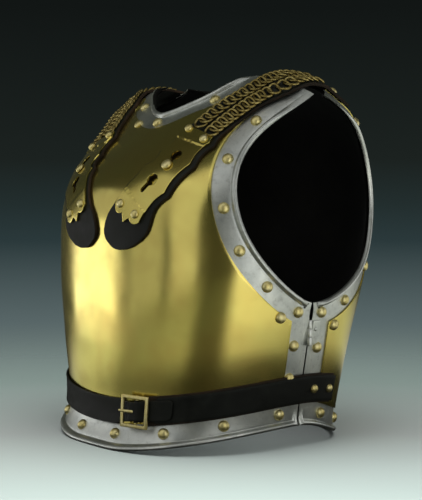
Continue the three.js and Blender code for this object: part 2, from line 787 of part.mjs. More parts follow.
// A row of links at even steps along its own line on the strap
function chainRow(side) {
  const start = junction + chain.startGap + chain.length / 2;
  const end = pivotLength - chain.endGap - chain.length / 2;
  const lift = leather + 3 * clearance + (chain.wire + chain.sway) / 2;
  const frames = spread(steps, (share) => {
    const frame = strapRun.at(mix(start, end, share));
    return { ...frame, point: framePoint(frame, 0, side * chain.rowOffset, lift) };
  });
  const lengths = lengthsOf(frames.map(({ point }) => point));
  const count = Math.floor(lengths.at(-1) / chain.pitch);
  return join(...spread(count, (share) => {
    const index = lengths.findIndex((length) => length >= share * count * chain.pitch);
    const [before, after] = [frames.at(Math.max(index - 1, 0)), frames.at(index + 1)];
    return curbLink(frameOf(frames[index].point, after.point.clone().sub(before.point), frames[index].up));
  }));
}

function anchorStud() {
  const frame = strapRun.at(strapRun.atDepth(anchorStudShare));
  const seat = { ...frame, point: framePoint(frame, 0, 0, leather + clearance) };
  return placed(dome(rivetRadius, rivetRise, 0), seat);
}

const plateRivet = (share, across) => {
  const frame = strapRun.at(strapRun.atHeight(share));
  const spot = spotOf(breast, framePoint(frame, 0, across, 0));
  const seat = surfaceFrame(breast, spot, strap.lift + plateHigh + clearance);
  return placed(dome(rivetRadius, rivetRise, 0), seat);
};

// Headed stud that the keyhole plate hooks on
function hookStud() {
  const frame = strapRun.at(strapRun.atHeight(keyPlate.keyholeShares[0]));
  const rise = strap.lift + plateHigh + clearance;
  const { foot, footRise, neck, head, headRise, seat, rimShare, crownShare, crownRiseShare } = strapStud;
  const stud = lathe([
    [0, seat], [foot, seat], [foot, seat + footRise], [neck, seat + footRise], [neck, rise],
    [head, rise], [head, rise + headRise * rimShare],
    [head * crownShare, rise + headRise * crownRiseShare], [0, rise + headRise],
  ], 12);
  return placed(stud, { ...frame, point: framePoint(frame, 0, 0, -strap.lift) });
}

// Belt

// Stations go round the torso from the middle of the breast, positive on the wearer's left
function beltSpot(station) {
  const onBreast = Math.abs(station) <= Math.PI / 2;
  const turn = onBreast ? station : Math.sign(station) * (Math.PI - Math.abs(station));
  return { plate: onBreast ? breast : back, turn, height: belt.height + belt.rise * Math.sin(turn) ** 2 };
}

const buckleTurn = buckle.turnShare * Math.PI / 2;
const beltRun = (() => {
  const stations = spread(3 * steps, (share) => mix(-Math.PI, Math.PI, share) * belt.reachShare);
  const points = stations.map((station) => {
    const { plate, turn, height } = beltSpot(station);
    return skin(plate, turn, height);
  });
  const lengths = lengthsOf(points);
  const zero = lengths[stations.findIndex((station) => station >= buckleTurn)];
  return {
    station: (length) => {
      const index = lengths.findIndex((each) => each >= zero + length);
      const share = (zero + length - lengths[index - 1]) / (lengths[index] - lengths[index - 1]);
      return mix(stations[index - 1], stations[index], share);
    },
    lengthAt: (side, depth) => lengths[points.findIndex(({ x, y }) => (
      x * side > 0 && (side > 0 ? y >= depth : y <= depth)
    ))] - zero,
  };
})();

// Lift of the belt's free end as it runs through the buckle, by length from the centre bar
function tailLift(length) {
  const places = [
    [-buckle.length, belt.lift],
    [-buckle.length / 2 - buckle.bar, belt.lift + clearance],
    [-buckle.length / 2 + buckle.bar / 2, buckle.underBar],
    [-buckle.roll - clearance, buckle.crest],
    [buckle.roll + clearance, buckle.crest],
    [buckle.length / 2 - buckle.restShare * buckle.bar, buckle.overBelt],
  ];
  const next = places.findIndex(([place]) => place >= length);
  if (next === 0) return places[0][1];
  if (next < 0) return places.at(-1)[1];
  const [[from, low], [to, high]] = [places[next - 1], places[next]];
  return mix(low, high, (length - from) / (to - from));
}

function beltSection(length, half, lift) {
  const { plate, turn, height } = beltSpot(beltRun.station(length));
  const side = (rise) => [-half, 0, half].map((drop) => raised(plate, turn, height + drop, rise));
  return { under: side(lift), over: side(lift + leather) };
}

const beltPiece = (lengths, half, lift) => (
  strip(lengths.map((length) => beltSection(length, half(length), lift(length))))
);

const buckleFrame = (() => {
  const { plate, turn, height } = beltSpot(buckleTurn);
  return surfaceFrame(plate, { turn, height }, 0);
})();
const inBuckle = (geometry) => placed(geometry, buckleFrame);
const cross = (radius, halfLength) => (
  new THREE.CylinderGeometry(radius, radius, 2 * halfLength, 10)
);
const atBar = (geometry) => geometry.translate(0, 0, buckle.centreLift);

function buckleBody() {
  const { length, height, bar, low, centreBar, centreLift } = buckle;
  const outer = box([-length / 2, -height / 2, low], [length / 2, height / 2, low + bar]);
  const [across, along] = [length / 2 - bar, height / 2 - bar];
  const inner = box([-across, -along, 0], [across, along, 2 * (low + bar)]);
  const lug = (side) => {
    const [near, far] = [height / 2 - bar, height / 2].map((value) => side * value).sort((p, q) => p - q);
    const half = centreBar * buckle.lugShare;
    return box([-half, near, centreLift - centreBar], [half, far, low + bar / 2]);
  };
  const bars = join(cut(outer, inner), lug(1), lug(-1), atBar(cross(centreBar, height / 2 - bar / 2)));
  return inBuckle(bars);
}

function beltLeft() {
  const { roll, rollBore, prongSlot, centreLift } = buckle;
  const reach = beltRun.lengthAt(1, -belt.seam);
  const half = (length) => (length < belt.narrowing ? belt.endHalfWidth : belt.halfWidth);
  const near = [roll / 2, 2 * roll, belt.narrowing - clearance, belt.narrowing + clearance];
  const far = spread(9, (share) => mix(belt.narrowing * belt.startShare, reach, share));
  const rise = (length) => belt.lift + (length < roll ? rollBore : 0);
  const strapPart = beltPiece([...near, ...far], half, rise);
  const rolled = inBuckle(atBar(cross(roll, belt.endHalfWidth)));
  const bore = inBuckle(atBar(cross(rollBore, belt.halfWidth)));
  const slot = inBuckle(box(
    [-roll - buckle.prongThickness, -prongSlot / 2, -centreLift],
    [roll + buckle.prongThickness / 2, prongSlot / 2, 3 * centreLift],
  ));
  return cut(join(strapPart, rolled), bore, slot);
}

function beltRight() {
  const start = beltRun.lengthAt(-1, belt.rightPivotDepth - belt.joint);
  const half = (length) => (length > -belt.narrowing ? belt.endHalfWidth : belt.halfWidth);
  const { length, bar, roll } = buckle;
  const inner = [-length, -length / 2 - bar, -length / 2 + bar / 2, -roll - clearance, roll + clearance,
    length / 2 - buckle.restShare * bar, length / 2, belt.tail * belt.tailShare, belt.tail];
  const lengths = [
    ...spread(18, (share) => mix(start, -belt.runShare * length, share)), ...inner,
    -belt.narrowing - clearance, -belt.narrowing + clearance,
  ].sort((p, q) => p - q);
  const slot = inBuckle(box(
    [buckle.slotStart, -buckle.prongSlot / 2, 0],
    [buckle.slotEnd, buckle.prongSlot / 2, 3 * buckle.centreLift],
  ));
  return cut(beltPiece(lengths, half, tailLift), slot);
}

const endLift = sheetGap + brass + clearance;

function beltEnd(side) {
  const left = [belt.seam, belt.endDepth];
  const right = [belt.rightPivotDepth + belt.joint, belt.rightEndDepth];
  const [near, far] = side > 0 ? left : right;
  const [start, end] = [near, far].map((depth) => beltRun.lengthAt(side, depth));
  return beltPiece(spread(5, (share) => mix(start, end, share)), () => belt.halfWidth, () => endLift);
}

function beltRivet(side, depth) {
  const { plate, turn, height } = beltSpot(beltRun.station(beltRun.lengthAt(side, depth)));
  const seat = surfaceFrame(plate, { turn, height }, endLift + leather + clearance);
  return placed(dome(rivetRadius, rivetRise, 0), seat);
}

// Prong with its eye round the centre bar and its tip on the frame's far bar
function prong() {
  const { low, bar, centreLift, length, prongEye, prongWidth, prongThickness, rollBore } = buckle;
  const under = low + bar - centreLift + clearance;
  const over = under + prongThickness;
  const shape = new THREE.Shape();
  shape.moveTo(-prongEye, -rollBore / 2);
  shape.lineTo(-prongEye - prongThickness * 2, under);
  shape.lineTo(-length / 2 - bar / 2, under);
  shape.lineTo(-length / 2 - bar / 2 - clearance, under + prongThickness / 2);
  shape.lineTo(-length / 2 + bar / 2, over);
  shape.lineTo(-prongEye - prongThickness, over);
  shape.lineTo(-rollBore, prongEye - clearance);
  const shank = new THREE.ExtrudeGeometry(shape, { depth: prongWidth, bevelEnabled: false })
    .translate(0, 0, -prongWidth / 2).rotateX(Math.PI / 2);
  const eye = cut(join(cross(prongEye, prongWidth / 2), shank), cross(rollBore, prongWidth));
  return inBuckle(atBar(eye));
}

// Hinge

const hingeHeight = torso.height * hinge.heightShare;
const hingeAcross = sectionAt(hingeHeight).halfWidth + hinge.outset;
const [hingeBottom, hingeTop] = [hingeHeight - hinge.length / 2, hingeHeight + hinge.length / 2];
const [leafBottom, leafTop] = [hingeBottom + hinge.leafFoot, hingeTop - hinge.leafHead];

const knuckle = (bottom, top) => (
  lathe([
    [hinge.bore, bottom], [hinge.knuckleRadius, bottom], [hinge.knuckleRadius, top], [hinge.bore, top],
    [hinge.bore, bottom],
  ], 16).translate(hingeAcross, 0, 0)
);
const third = (hingeTop - hingeBottom) / 3;

// A leaf along a plate's wall, between two depths and two lifts, following the wall's lean
function wallLeaf(plate, near, far, low, high) {
  const at = (depth, height, lift) => {
    const turn = turnAtDepth(plate, depth, height);
    return raised(plate, turn, height, lift);
  };
  return strip([leafBottom, leafTop].map((height) => ({
    under: [at(near, height, low), at(far, height, low)],
    over: [at(near, height, high), at(far, height, high)],
  })));
}

// The back's leaf lies outside its wall and carries the middle knuckle
function backLeaf() {
  const start = hinge.knuckleRadius + hinge.joint;
  const [low, high] = [hingeBottom + third + hinge.joint, hingeTop - third - hinge.joint];
  const leaf = wallLeaf(back, start, hinge.leafReach, clearance, clearance + hinge.leafThickness);
  const arm = box(
    [hingeAcross - hinge.bore, hinge.knuckleRadius * hinge.armShare, low],
    [hingeAcross - hinge.bore + hinge.leafThickness * hinge.footShare, start + hinge.joint, high],
  );
  return join(leaf, arm, knuckle(low, high));
}

// The breast's leaf lies inside its wall and carries the outer knuckles through the notch
function frontLeaf() {
  const lift = -steel - clearance;
  const start = hinge.knuckleRadius * hinge.footShare;
  const leaf = wallLeaf(breast, -start, -hinge.leafReach, lift - hinge.leafThickness, lift);
  const inner = raised(breast, turnAtDepth(breast, -start, leafBottom), leafBottom, lift).x;
  const arm = (bottom, top) => box(
    [inner - hinge.leafThickness / 2, -hinge.knuckleRadius - hinge.joint, bottom],
    [hingeAcross, -hinge.knuckleRadius * hinge.armShare, top],
  );
  const [low, high] = [hingeBottom + third, hingeTop - third];
  const arms = [arm(leafBottom, low), arm(high, leafTop)];
  return join(leaf, ...arms, knuckle(hingeBottom, low), knuckle(high, hingeTop));
}

const hingePin = () => (
  new THREE.CylinderGeometry(hinge.pinRadius, hinge.pinRadius, hingeTop - hingeBottom, 12)
    .rotateX(Math.PI / 2).translate(hingeAcross, 0, hingeHeight)
);

function hingeRivet() {
  const height = hingeHeight + hinge.rivetLift;
  const spot = { turn: turnAtDepth(back, hinge.rivetDepth, height), height };
  const lift = 2 * clearance + hinge.leafThickness;
  return placed(dome(hinge.rivetRadius, hinge.rivetRise, 0), surfaceFrame(back, spot, lift));
}

// Room for the barrel in the seam edges, and for the edges above it to pass
const notches = () => [
  box([hingeAcross - 4 * hinge.knuckleRadius, -hinge.notch, hingeBottom - studRise / 2],
    [hingeAcross + 4 * hinge.knuckleRadius, hinge.notch, hingeTop + studRise / 2]),
  box([hingeAcross - 4 * hinge.knuckleRadius, -hinge.upperGap, hingeTop],
    [hingeAcross + 6 * hinge.knuckleRadius, hinge.upperGap, armholeHeight - armholeRadius + 2 * beadHeight]),
];

// Assembly

const group = new THREE.Group();
function add(name, geometry, material) {
  const mesh = new THREE.Mesh(geometry, material);
  mesh.name = name;
  group.add(mesh);
}

const studded = (plate) => cut(
  join(steelSheet(plate), ...borderStuds(plate).map((spot) => studAt(plate, spot))),
  ...notches(),
);
add('breast_plate', studded(breast), finishes.steel);
add('back_plate', studded(back), finishes.steel);
add('breast_facing', coverSheet(breast, sheetGap, sheetGap + brass), finishes.brass);
add('back_facing', coverSheet(back, sheetGap, sheetGap + brass), finishes.brass);
add('breast_lining', liningSheet(breast), finishes.lining);
add('back_lining', liningSheet(back), finishes.lining);

add('hinge_leaf_front', frontLeaf(), finishes.steel);
add('hinge_leaf_back', backLeaf(), finishes.steel);
add('hinge_pin', hingePin(), finishes.steel);
add('hinge_rivet', hingeRivet(), finishes.steel);

add('belt_left', beltLeft(), finishes.leather);
add('belt_left_end', beltEnd(1), finishes.leather);
add('belt_right', beltRight(), finishes.leather);
add('belt_right_end', beltEnd(-1), finishes.leather);
add('buckle_frame', buckleBody(), finishes.stud);
add('buckle_prong', prong(), finishes.stud);
[belt.nearRivetDepth, belt.farRivetDepth].forEach((depth, i) => {
  add(`belt_rivet_left_${i + 1}`, beltRivet(1, depth), finishes.stud);
  add(`belt_rivet_right_${i + 1}`, beltRivet(-1, depth), finishes.stud);
});

// Each strap piece is made for the wearer's left and mirrored for the right
function addPair(name, geometry, material) {
  add(`${name}_left`, geometry, material);
  add(`${name}_right`, mirrored(geometry), material);
}
addPair('strap_leather', strapLeather(), finishes.leather);
addPair('strap_anchor', anchorLeather(), finishes.leather);
addPair('chain_inner', chainRow(-1), finishes.chain);
addPair('chain_outer', chainRow(1), finishes.chain);
addPair('strap_tongue', tongue(), finishes.leather);
addPair('keyhole_plate', keyholePlate(), finishes.brass);
addPair('strap_stud', hookStud(), finishes.stud);
addPair('anchor_stud', anchorStud(), finishes.stud);
addPair('low_rivet_inner', plateRivet(keyPlate.lowRivetShare, -keyPlate.lowRivetAcross), finishes.stud);
addPair('low_rivet_outer', plateRivet(keyPlate.lowRivetShare, keyPlate.lowRivetAcross), finishes.stud);
addPair('end_rivet_inner', plateRivet(keyPlate.endRivetShare, -keyPlate.endRivetAcross), finishes.stud);
addPair('end_rivet_outer', plateRivet(keyPlate.endRivetShare, keyPlate.endRivetAcross), finishes.stud);

export default group;
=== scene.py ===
import math

import bpy
import numpy as np
from mathutils import Matrix, Vector


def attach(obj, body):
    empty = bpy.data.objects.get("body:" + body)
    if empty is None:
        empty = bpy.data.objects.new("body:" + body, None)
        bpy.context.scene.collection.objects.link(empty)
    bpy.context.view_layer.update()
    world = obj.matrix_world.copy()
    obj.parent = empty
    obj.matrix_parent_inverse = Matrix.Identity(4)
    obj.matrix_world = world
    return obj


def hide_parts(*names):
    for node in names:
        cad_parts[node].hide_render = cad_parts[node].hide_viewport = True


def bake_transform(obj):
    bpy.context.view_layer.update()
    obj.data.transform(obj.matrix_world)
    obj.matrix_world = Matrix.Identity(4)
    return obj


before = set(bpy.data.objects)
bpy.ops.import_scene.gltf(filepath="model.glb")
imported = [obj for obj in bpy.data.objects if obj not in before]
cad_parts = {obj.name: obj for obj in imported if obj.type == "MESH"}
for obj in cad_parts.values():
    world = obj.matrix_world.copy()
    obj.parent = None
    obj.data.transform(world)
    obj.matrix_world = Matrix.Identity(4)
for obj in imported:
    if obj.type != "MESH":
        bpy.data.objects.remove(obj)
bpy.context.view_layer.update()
mm = 0.001
print("frame loaded")


# working helpers

def deselectAll():
    if bpy.context.mode != "OBJECT":
        bpy.ops.object.mode_set(mode="OBJECT")
    bpy.ops.object.select_all(action="DESELECT")


def pick(piece):
    deselectAll()
    piece.select_set(True)
    bpy.context.view_layer.objects.active = piece


def editAll(piece, *steps):
    # runs edit-mode operators on the whole mesh
    pick(piece)
    bpy.ops.object.mode_set(mode="EDIT")
    bpy.ops.mesh.select_all(action="SELECT")
    for step in steps:
        step()
    bpy.ops.object.mode_set(mode="OBJECT")


def modify(piece, kind, **settings):
    pick(piece)
    modifier = piece.modifiers.new(kind.title(), kind)
    for key, value in settings.items():
        setattr(modifier, key, value)
    bpy.ops.object.modifier_apply(modifier=modifier.name)
    return piece


def easeRims(piece, width, segments=2):
    # bevels the sharp edges only
    return modify(piece, "BEVEL", width=width * mm, segments=segments, limit_method="ANGLE",
                  angle_limit=math.radians(50))


def applyPlace(piece):
    pick(piece)
    bpy.ops.object.transform_apply(location=True, rotation=True, scale=True)


def mergeDoubles():
    bpy.ops.mesh.remove_doubles(threshold=0.01 * mm)


def pointOutwards():
    bpy.ops.mesh.normals_make_consistent(inside=False)


def verticesOf(piece):
    flat = np.empty(len(piece.data.vertices) * 3)
    piece.data.vertices.foreach_get("co", flat)
    return flat.reshape(-1, 3)


def moveVertices(piece, points):
    piece.data.vertices.foreach_set("co", np.ascontiguousarray(points).ravel())
    piece.data.update()


def gridPiece(name, points, ups=None):
    # a grid primitive with its corners laid on rows of points, faces turned to the given side
    rows, columns = points.shape[:2]
    deselectAll()
    bpy.ops.mesh.primitive_grid_add(x_subdivisions=columns - 1, y_subdivisions=rows - 1, size=2)
    piece = bpy.context.active_object
    piece.name = piece.data.name = name
    start = verticesOf(piece)
    order = np.lexsort((start[:, 0].round(5), start[:, 1].round(5)))
    laid = np.empty_like(start)
    laid[order] = points.reshape(-1, 3) * mm
    moveVertices(piece, laid)
    if ups is not None:
        facing = np.empty_like(start)
        facing[order] = np.broadcast_to(ups, points.shape).reshape(-1, 3)
        normals = np.array([vertex.normal for vertex in piece.data.vertices])
        if (normals * facing).sum() < 0:
            editAll(piece, bpy.ops.mesh.flip_normals)
    return piece


def closedPiece(name, points):
    # a grid whose ends meet: seams and poles merged, normals outwards
    piece = gridPiece(name, points)
    editAll(piece, mergeDoubles, pointOutwards)
    return piece


def smooth(piece, angle=40):
    pick(piece)
    bpy.ops.object.shade_smooth_by_angle(angle=math.radians(angle))
    return piece


def joined(name, pieces):
    deselectAll()
    for piece in pieces:
        piece.select_set(True)
    bpy.context.view_layer.objects.active = pieces[0]
    if len(pieces) > 1:
        bpy.ops.object.join()
    pieces[0].name = pieces[0].data.name = name
    return pieces[0]


def copyOf(piece, name, matrix):
    copy = piece.copy()
    copy.data = piece.data.copy()
    copy.name = copy.data.name = name
    bpy.context.collection.objects.link(copy)
    copy.data.transform(matrix)
    return copy


def mirroredCopy(piece, name):
    copy = copyOf(piece, name, Matrix.Scale(-1, 4, (1, 0, 0)))
    editAll(copy, bpy.ops.mesh.flip_normals)
    return copy


def dropPiece(piece):
    bpy.data.objects.remove(piece, do_unlink=True)


def dress(piece, body, slotName, materials, *nodes):
    # materials, body, slot (not used) and the solids that the piece stands for
    if not piece.data.materials:
        for material in materials:
            piece.data.materials.append(material)
    if body:
        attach(piece, body)
    if nodes:
        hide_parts(*nodes)
    return piece


def between(a, b, share):
    return a + (b - a) * share


def easeIn(share):
    share = np.clip(share, 0, 1)
    return share * share * (3 - 2 * share)


# materials

def linearColour(hexText, alpha=1.0):
    # sRGB hex to linear
    parts = [int(hexText[i:i + 2], 16) / 255 for i in (1, 3, 5)]
    return [p / 12.92 if p <= 0.04045 else ((p + 0.055) / 1.055) ** 2.4 for p in parts] + [alpha]


def addNode(tree, kind, settings=None, links=None, feeds=None):
    # settings: property or socket to value; links: socket to (node, output); feeds: output to (node, socket)
    node = tree.nodes.new("ShaderNode" + kind)
    for key, value in (settings or {}).items():
        if key == "stops":
            elements = node.color_ramp.elements
            while len(elements) < len(value):
                elements.new(0.5)
            for element, (place, colour) in zip(elements, value):
                element.position = place
                element.color = linearColour(colour)
        elif isinstance(key, str) and hasattr(node, key):
            setattr(node, key, value)
        else:
            node.inputs[key].default_value = value
    for key, (source, output) in (links or {}).items():
        tree.links.new(source.outputs[output], node.inputs[key])
    for output, (target, key) in (feeds or {}).items():
        tree.links.new(node.outputs[output], target.inputs[key])
    return node


def newMaterial(name, **values):
    # a material, its nodes, its surface shader and the place on the piece
    material = bpy.data.materials.new(name)
    material.use_nodes = True
    tree = material.node_tree
    shader = tree.nodes["Principled BSDF"]
    for key, value in values.items():
        shader.inputs[key.replace("_", " ")].default_value = value
    return material, tree, shader, (addNode(tree, "TexCoord"), "Object")


def perMm(size):
    # pattern scale for one blotch, cell or thread that is so many millimetres wide
    return 1 / (size * mm)


def makeSheetBrass():
    # Rolled sheet brass, hand polished and handled since: the eye sees a soft satin mirror in greenish gold,
    # faint reddish clouds and a few small dark pits
    material, tree, shader, place = newMaterial("polishedSheetBrass", Metallic=1.0)
    clouds = addNode(tree, "TexNoise", {"Scale": perMm(95), "Detail": 3, "Roughness": 0.5}, {"Vector": place})
    tone = addNode(tree, "ValToRGB", {"stops": [(0.3, "#cbbd68"), (0.5, "#d6c870"), (0.7, "#d8c26b")]},
                   {"Fac": (clouds, "Fac")})
    stains = addNode(tree, "TexNoise", {"Scale": perMm(40), "Detail": 2, "Roughness": 0.5},
                     {"Vector": place})
    stainShare = addNode(tree, "MapRange", {"From Min": 0.4, "From Max": 0.85, "To Min": 0, "To Max": 0.4},
                         {"Value": (stains, "Fac")})
    stained = addNode(tree, "Mix", {"data_type": "RGBA", 7: linearColour("#b08f48")},
                      {0: (stainShare, "Result"), 6: (tone, "Color")})
    pits = addNode(tree, "TexVoronoi", {"Scale": perMm(14)}, {"Vector": place})
    pitShare = addNode(tree, "MapRange", {"From Min": 0.02, "From Max": 0.07, "To Min": 0.4, "To Max": 0},
                       {"Value": (pits, "Distance")})
    addNode(tree, "Mix", {"data_type": "RGBA", 7: linearColour("#6b5526")},
            {0: (pitShare, "Result"), 6: (stained, 2)}, {2: (shader, "Base Color")})
    addNode(tree, "MapRange", {"From Min": 0.3, "From Max": 0.7, "To Min": 0.17, "To Max": 0.25},
            {"Value": (stains, "Fac")}, {"Result": (shader, "Roughness")})
    rubbed = addNode(tree, "TexNoise", {"Scale": perMm(1.2), "Detail": 3, "Roughness": 0.7},
                     {"Vector": place})
    scratches = addNode(tree, "Bump", {"Strength": 0.05, "Distance": 0.04 * mm}, {"Height": (rubbed, "Fac")})
    dents = addNode(tree, "TexNoise", {"Scale": perMm(70), "Detail": 1, "Roughness": 0.4},
                    {"Vector": place})
    addNode(tree, "Bump", {"Strength": 0.2, "Distance": 1.0 * mm},
            {"Height": (dents, "Fac"), "Normal": (scratches, "Normal")}, {"Normal": (shader, "Normal")})
    return material


def makeSteel():
    # Forged steel sheet, filed and polished bright: the eye sees pale grey with a faint brown cast in spots
    material, tree, shader, place = newMaterial("polishedArmourSteel", Metallic=1.0)
    clouds = addNode(tree, "TexNoise", {"Scale": perMm(35), "Detail": 5, "Roughness": 0.6}, {"Vector": place})
    tone = addNode(tree, "ValToRGB", {"stops": [(0.32, "#b3b7b3"), (0.5, "#c9ccc7"), (0.68, "#d8dad3")]},
                   {"Fac": (clouds, "Fac")})
    spots = addNode(tree, "TexNoise", {"Scale": perMm(6), "Detail": 6, "Roughness": 0.7}, {"Vector": place})
    spotShare = addNode(tree, "MapRange", {"From Min": 0.55, "From Max": 0.8, "To Min": 0, "To Max": 0.5},
                        {"Value": (spots, "Fac")})
    addNode(tree, "Mix", {"data_type": "RGBA", 7: linearColour("#6c655c")},
            {0: (spotShare, "Result"), 6: (tone, "Color")}, {2: (shader, "Base Color")})
    addNode(tree, "MapRange", {"From Min": 0.3, "From Max": 0.7, "To Min": 0.34, "To Max": 0.5},
            {"Value": (spots, "Fac")}, {"Result": (shader, "Roughness")})
    filed = addNode(tree, "TexNoise", {"Scale": perMm(1.0), "Detail": 3, "Roughness": 0.7},
                    {"Vector": place})
    addNode(tree, "Bump", {"Strength": 0.08, "Distance": 0.06 * mm}, {"Height": (filed, "Fac")},
            {"Normal": (shader, "Normal")})
    return material


def makeVarnish():
    # Black varnish brushed inside the plates against rust: near black, low sheen, faint brush marks
    material, tree, shader, place = newMaterial("blackIronVarnish", Metallic=0.0)
    shader.inputs["Specular IOR Level"].default_value = 0.08
    brushed = addNode(tree, "TexNoise", {"Scale": perMm(12), "Detail": 4, "Roughness": 0.6},
                      {"Vector": place})
    addNode(tree, "ValToRGB", {"stops": [(0.3, "#060605"), (0.7, "#0b0b09")]}, {"Fac": (brushed, "Fac")},
            {"Color": (shader, "Base Color")})
    addNode(tree, "MapRange", {"From Min": 0.3, "From Max": 0.7, "To Min": 0.6, "To Max": 0.8},
            {"Value": (brushed, "Fac")}, {"Result": (shader, "Roughness")})
    return material


def makeCastBrass(name, stops, low, high):
    # Brass of the cast stud heads and buckle and of the drawn chain wire: small clouds of tone, soft dings
    material, tree, shader, place = newMaterial(name, Metallic=1.0)
    clouds = addNode(tree, "TexNoise", {"Scale": perMm(7), "Detail": 4, "Roughness": 0.6}, {"Vector": place})
    addNode(tree, "ValToRGB", {"stops": stops}, {"Fac": (clouds, "Fac")}, {"Color": (shader, "Base Color")})
    fine = addNode(tree, "TexNoise", {"Scale": perMm(1.6), "Detail": 3, "Roughness": 0.6},
                   {"Vector": place})
    addNode(tree, "MapRange", {"From Min": 0.3, "From Max": 0.7, "To Min": low, "To Max": high},
            {"Value": (fine, "Fac")}, {"Result": (shader, "Roughness")})
    addNode(tree, "Bump", {"Strength": 0.12, "Distance": 0.12 * mm}, {"Height": (fine, "Fac")},
            {"Normal": (shader, "Normal")})
    return material


def makeLeather(name, stops, low, high):
    # Vegetable-tanned strap leather, dyed and waxed: pebbled grain about 1 mm wide, creases, dull sheen
    material, tree, shader, place = newMaterial(name, Metallic=0.0, IOR=1.45)
    shader.inputs["Specular IOR Level"].default_value = 0.2
    clouds = addNode(tree, "TexNoise", {"Scale": perMm(16), "Detail": 5, "Roughness": 0.6}, {"Vector": place})
    addNode(tree, "ValToRGB", {"stops": stops}, {"Fac": (clouds, "Fac")}, {"Color": (shader, "Base Color")})
    addNode(tree, "MapRange", {"From Min": 0.3, "From Max": 0.7, "To Min": low, "To Max": high},
            {"Value": (clouds, "Fac")}, {"Result": (shader, "Roughness")})
    grain = addNode(tree, "TexVoronoi", {"Scale": perMm(1.1)}, {"Vector": place})
    pebbles = addNode(tree, "Bump", {"Strength": 0.3, "Distance": 0.12 * mm}, {"Height": (grain, "Distance")})
    creases = addNode(tree, "TexNoise", {"Scale": perMm(7), "Detail": 5, "Roughness": 0.6}, {"Vector": place})
    addNode(tree, "Bump", {"Strength": 0.3, "Distance": 0.5 * mm},
            {"Height": (creases, "Fac"), "Normal": (pebbles, "Normal")}, {"Normal": (shader, "Normal")})
    return material


def makeLining():
    # Wool cloth over felt, black and matt: plain weave drawn 1.6 mm coarse so that it shows, light nap
    material, tree, shader, place = newMaterial("blackWoolLining", Metallic=0.0, Roughness=0.95)
    shader.inputs["Specular IOR Level"].default_value = 0.05
    shader.inputs["Sheen Weight"].default_value = 0.02
    clouds = addNode(tree, "TexNoise", {"Scale": perMm(45), "Detail": 4, "Roughness": 0.6}, {"Vector": place})
    addNode(tree, "ValToRGB", {"stops": [(0.35, "#050504"), (0.7, "#0a0a08")]}, {"Fac": (clouds, "Fac")},
            {"Color": (shader, "Base Color")})
    threads = addNode(tree, "TexWave", {
        "wave_type": "BANDS", "bands_direction": "DIAGONAL", "Scale": perMm(1.6) / 20, "Distortion": 1.0,
        "Detail Scale": 4.0,
    }, {"Vector": place})
    weave = addNode(tree, "Bump", {"Strength": 0.3, "Distance": 0.3 * mm}, {"Height": (threads, "Fac")})
    folds = addNode(tree, "TexNoise", {"Scale": perMm(30), "Detail": 3, "Roughness": 0.5}, {"Vector": place})
    addNode(tree, "Bump", {"Strength": 0.4, "Distance": 2 * mm},
            {"Height": (folds, "Fac"), "Normal": (weave, "Normal")}, {"Normal": (shader, "Normal")})
    return material


sheetBrass = makeSheetBrass()
armourSteel = makeSteel()
varnish = makeVarnish()
# tones from dark to pale, then the smoothest and the roughest finish
studBrass = makeCastBrass("castStudBrass", [(0.3, "#d3c07a"), (0.5, "#e4d695"), (0.7, "#ece0ac")], 0.38, 0.5)
chainTones = [(0.3, "#7a6a3a"), (0.5, "#a39258"), (0.7, "#c2b274")]
chainBrass = makeCastBrass("tarnishedChainBrass", chainTones, 0.36, 0.55)
blackTones = [(0.3, "#0a0b08"), (0.55, "#10110d"), (0.8, "#191a15")]
blackLeather = makeLeather("blackStrapLeather", blackTones, 0.5, 0.65)
brownTones = [(0.3, "#140f09"), (0.55, "#221910"), (0.8, "#33271a")]
brownEdge = makeLeather("brownCutLeather", brownTones, 0.65, 0.8)
liningCloth = makeLining()
leathers = [blackLeather, brownEdge]
print("materials made")


# torso skin

torso = {
    "height": [0, 40, 115, 200, 285, 360, 388, 402, 411, 416],
    "halfWidth": [156, 158, 172, 186, 188, 182, 171, 150, 122, 90],
    "breastDepth": [168, 150, 151, 150, 145, 88, 62, 50, 36, 14],
    "backDepth": [116, 120, 133, 155, 168, 140, 108, 84, 56, 20],
    "line": [0, 0, 0, 0, 3, 12, 15, 16, 16, 16],
    "roundness": [2.6, 2.6, 2.6, 2.6, 2.4, 2.1, 1.8, 1.7, 1.7, 1.7],
}
edges = {
    "hemRise": 24, "hemFlatShare": 0.2, "armholeHeight": 274, "armholeRadius": 113,
    "shoulderHeight": 378, "neckHalfWidth": 85, "neckTop": 414, "neckPower": 1.6,
    "seamGap": 1, "upperGap": 2.5, "upperGapFrom": 142, "upperGapEase": 1.5, "border": 27, "bead": 7,
    "hemLevelFrom": 12, "hemLevelEase": 6,
}
breast = {
    "side": -1, "depth": "breastDepth", "neckLow": 372,
    "armholeReach": 95.2, "armholeLean": 10, "armholeLowPower": 1.53, "armholeTopPower": 2.03,
    "hemPower": 1.7, "hemPitch": 66, "armholeStuds": [0.76, 1.14, 1.5, 1.91, 2.29],
    "seamStuds": [115, 152], "seamStudDepth": 20,
}
back = {
    "side": 1, "depth": "backDepth", "neckLow": 386,
    "armholeReach": 112.7, "armholeLean": 26, "armholeLowPower": 1.24, "armholeTopPower": 1.78,
    "hemPower": 5, "hemPitch": 55, "armholeStuds": [0.5, 0.95, 1.4, 1.85, 2.3],
    "seamStuds": [111, 150], "seamStudDepth": 15,
}


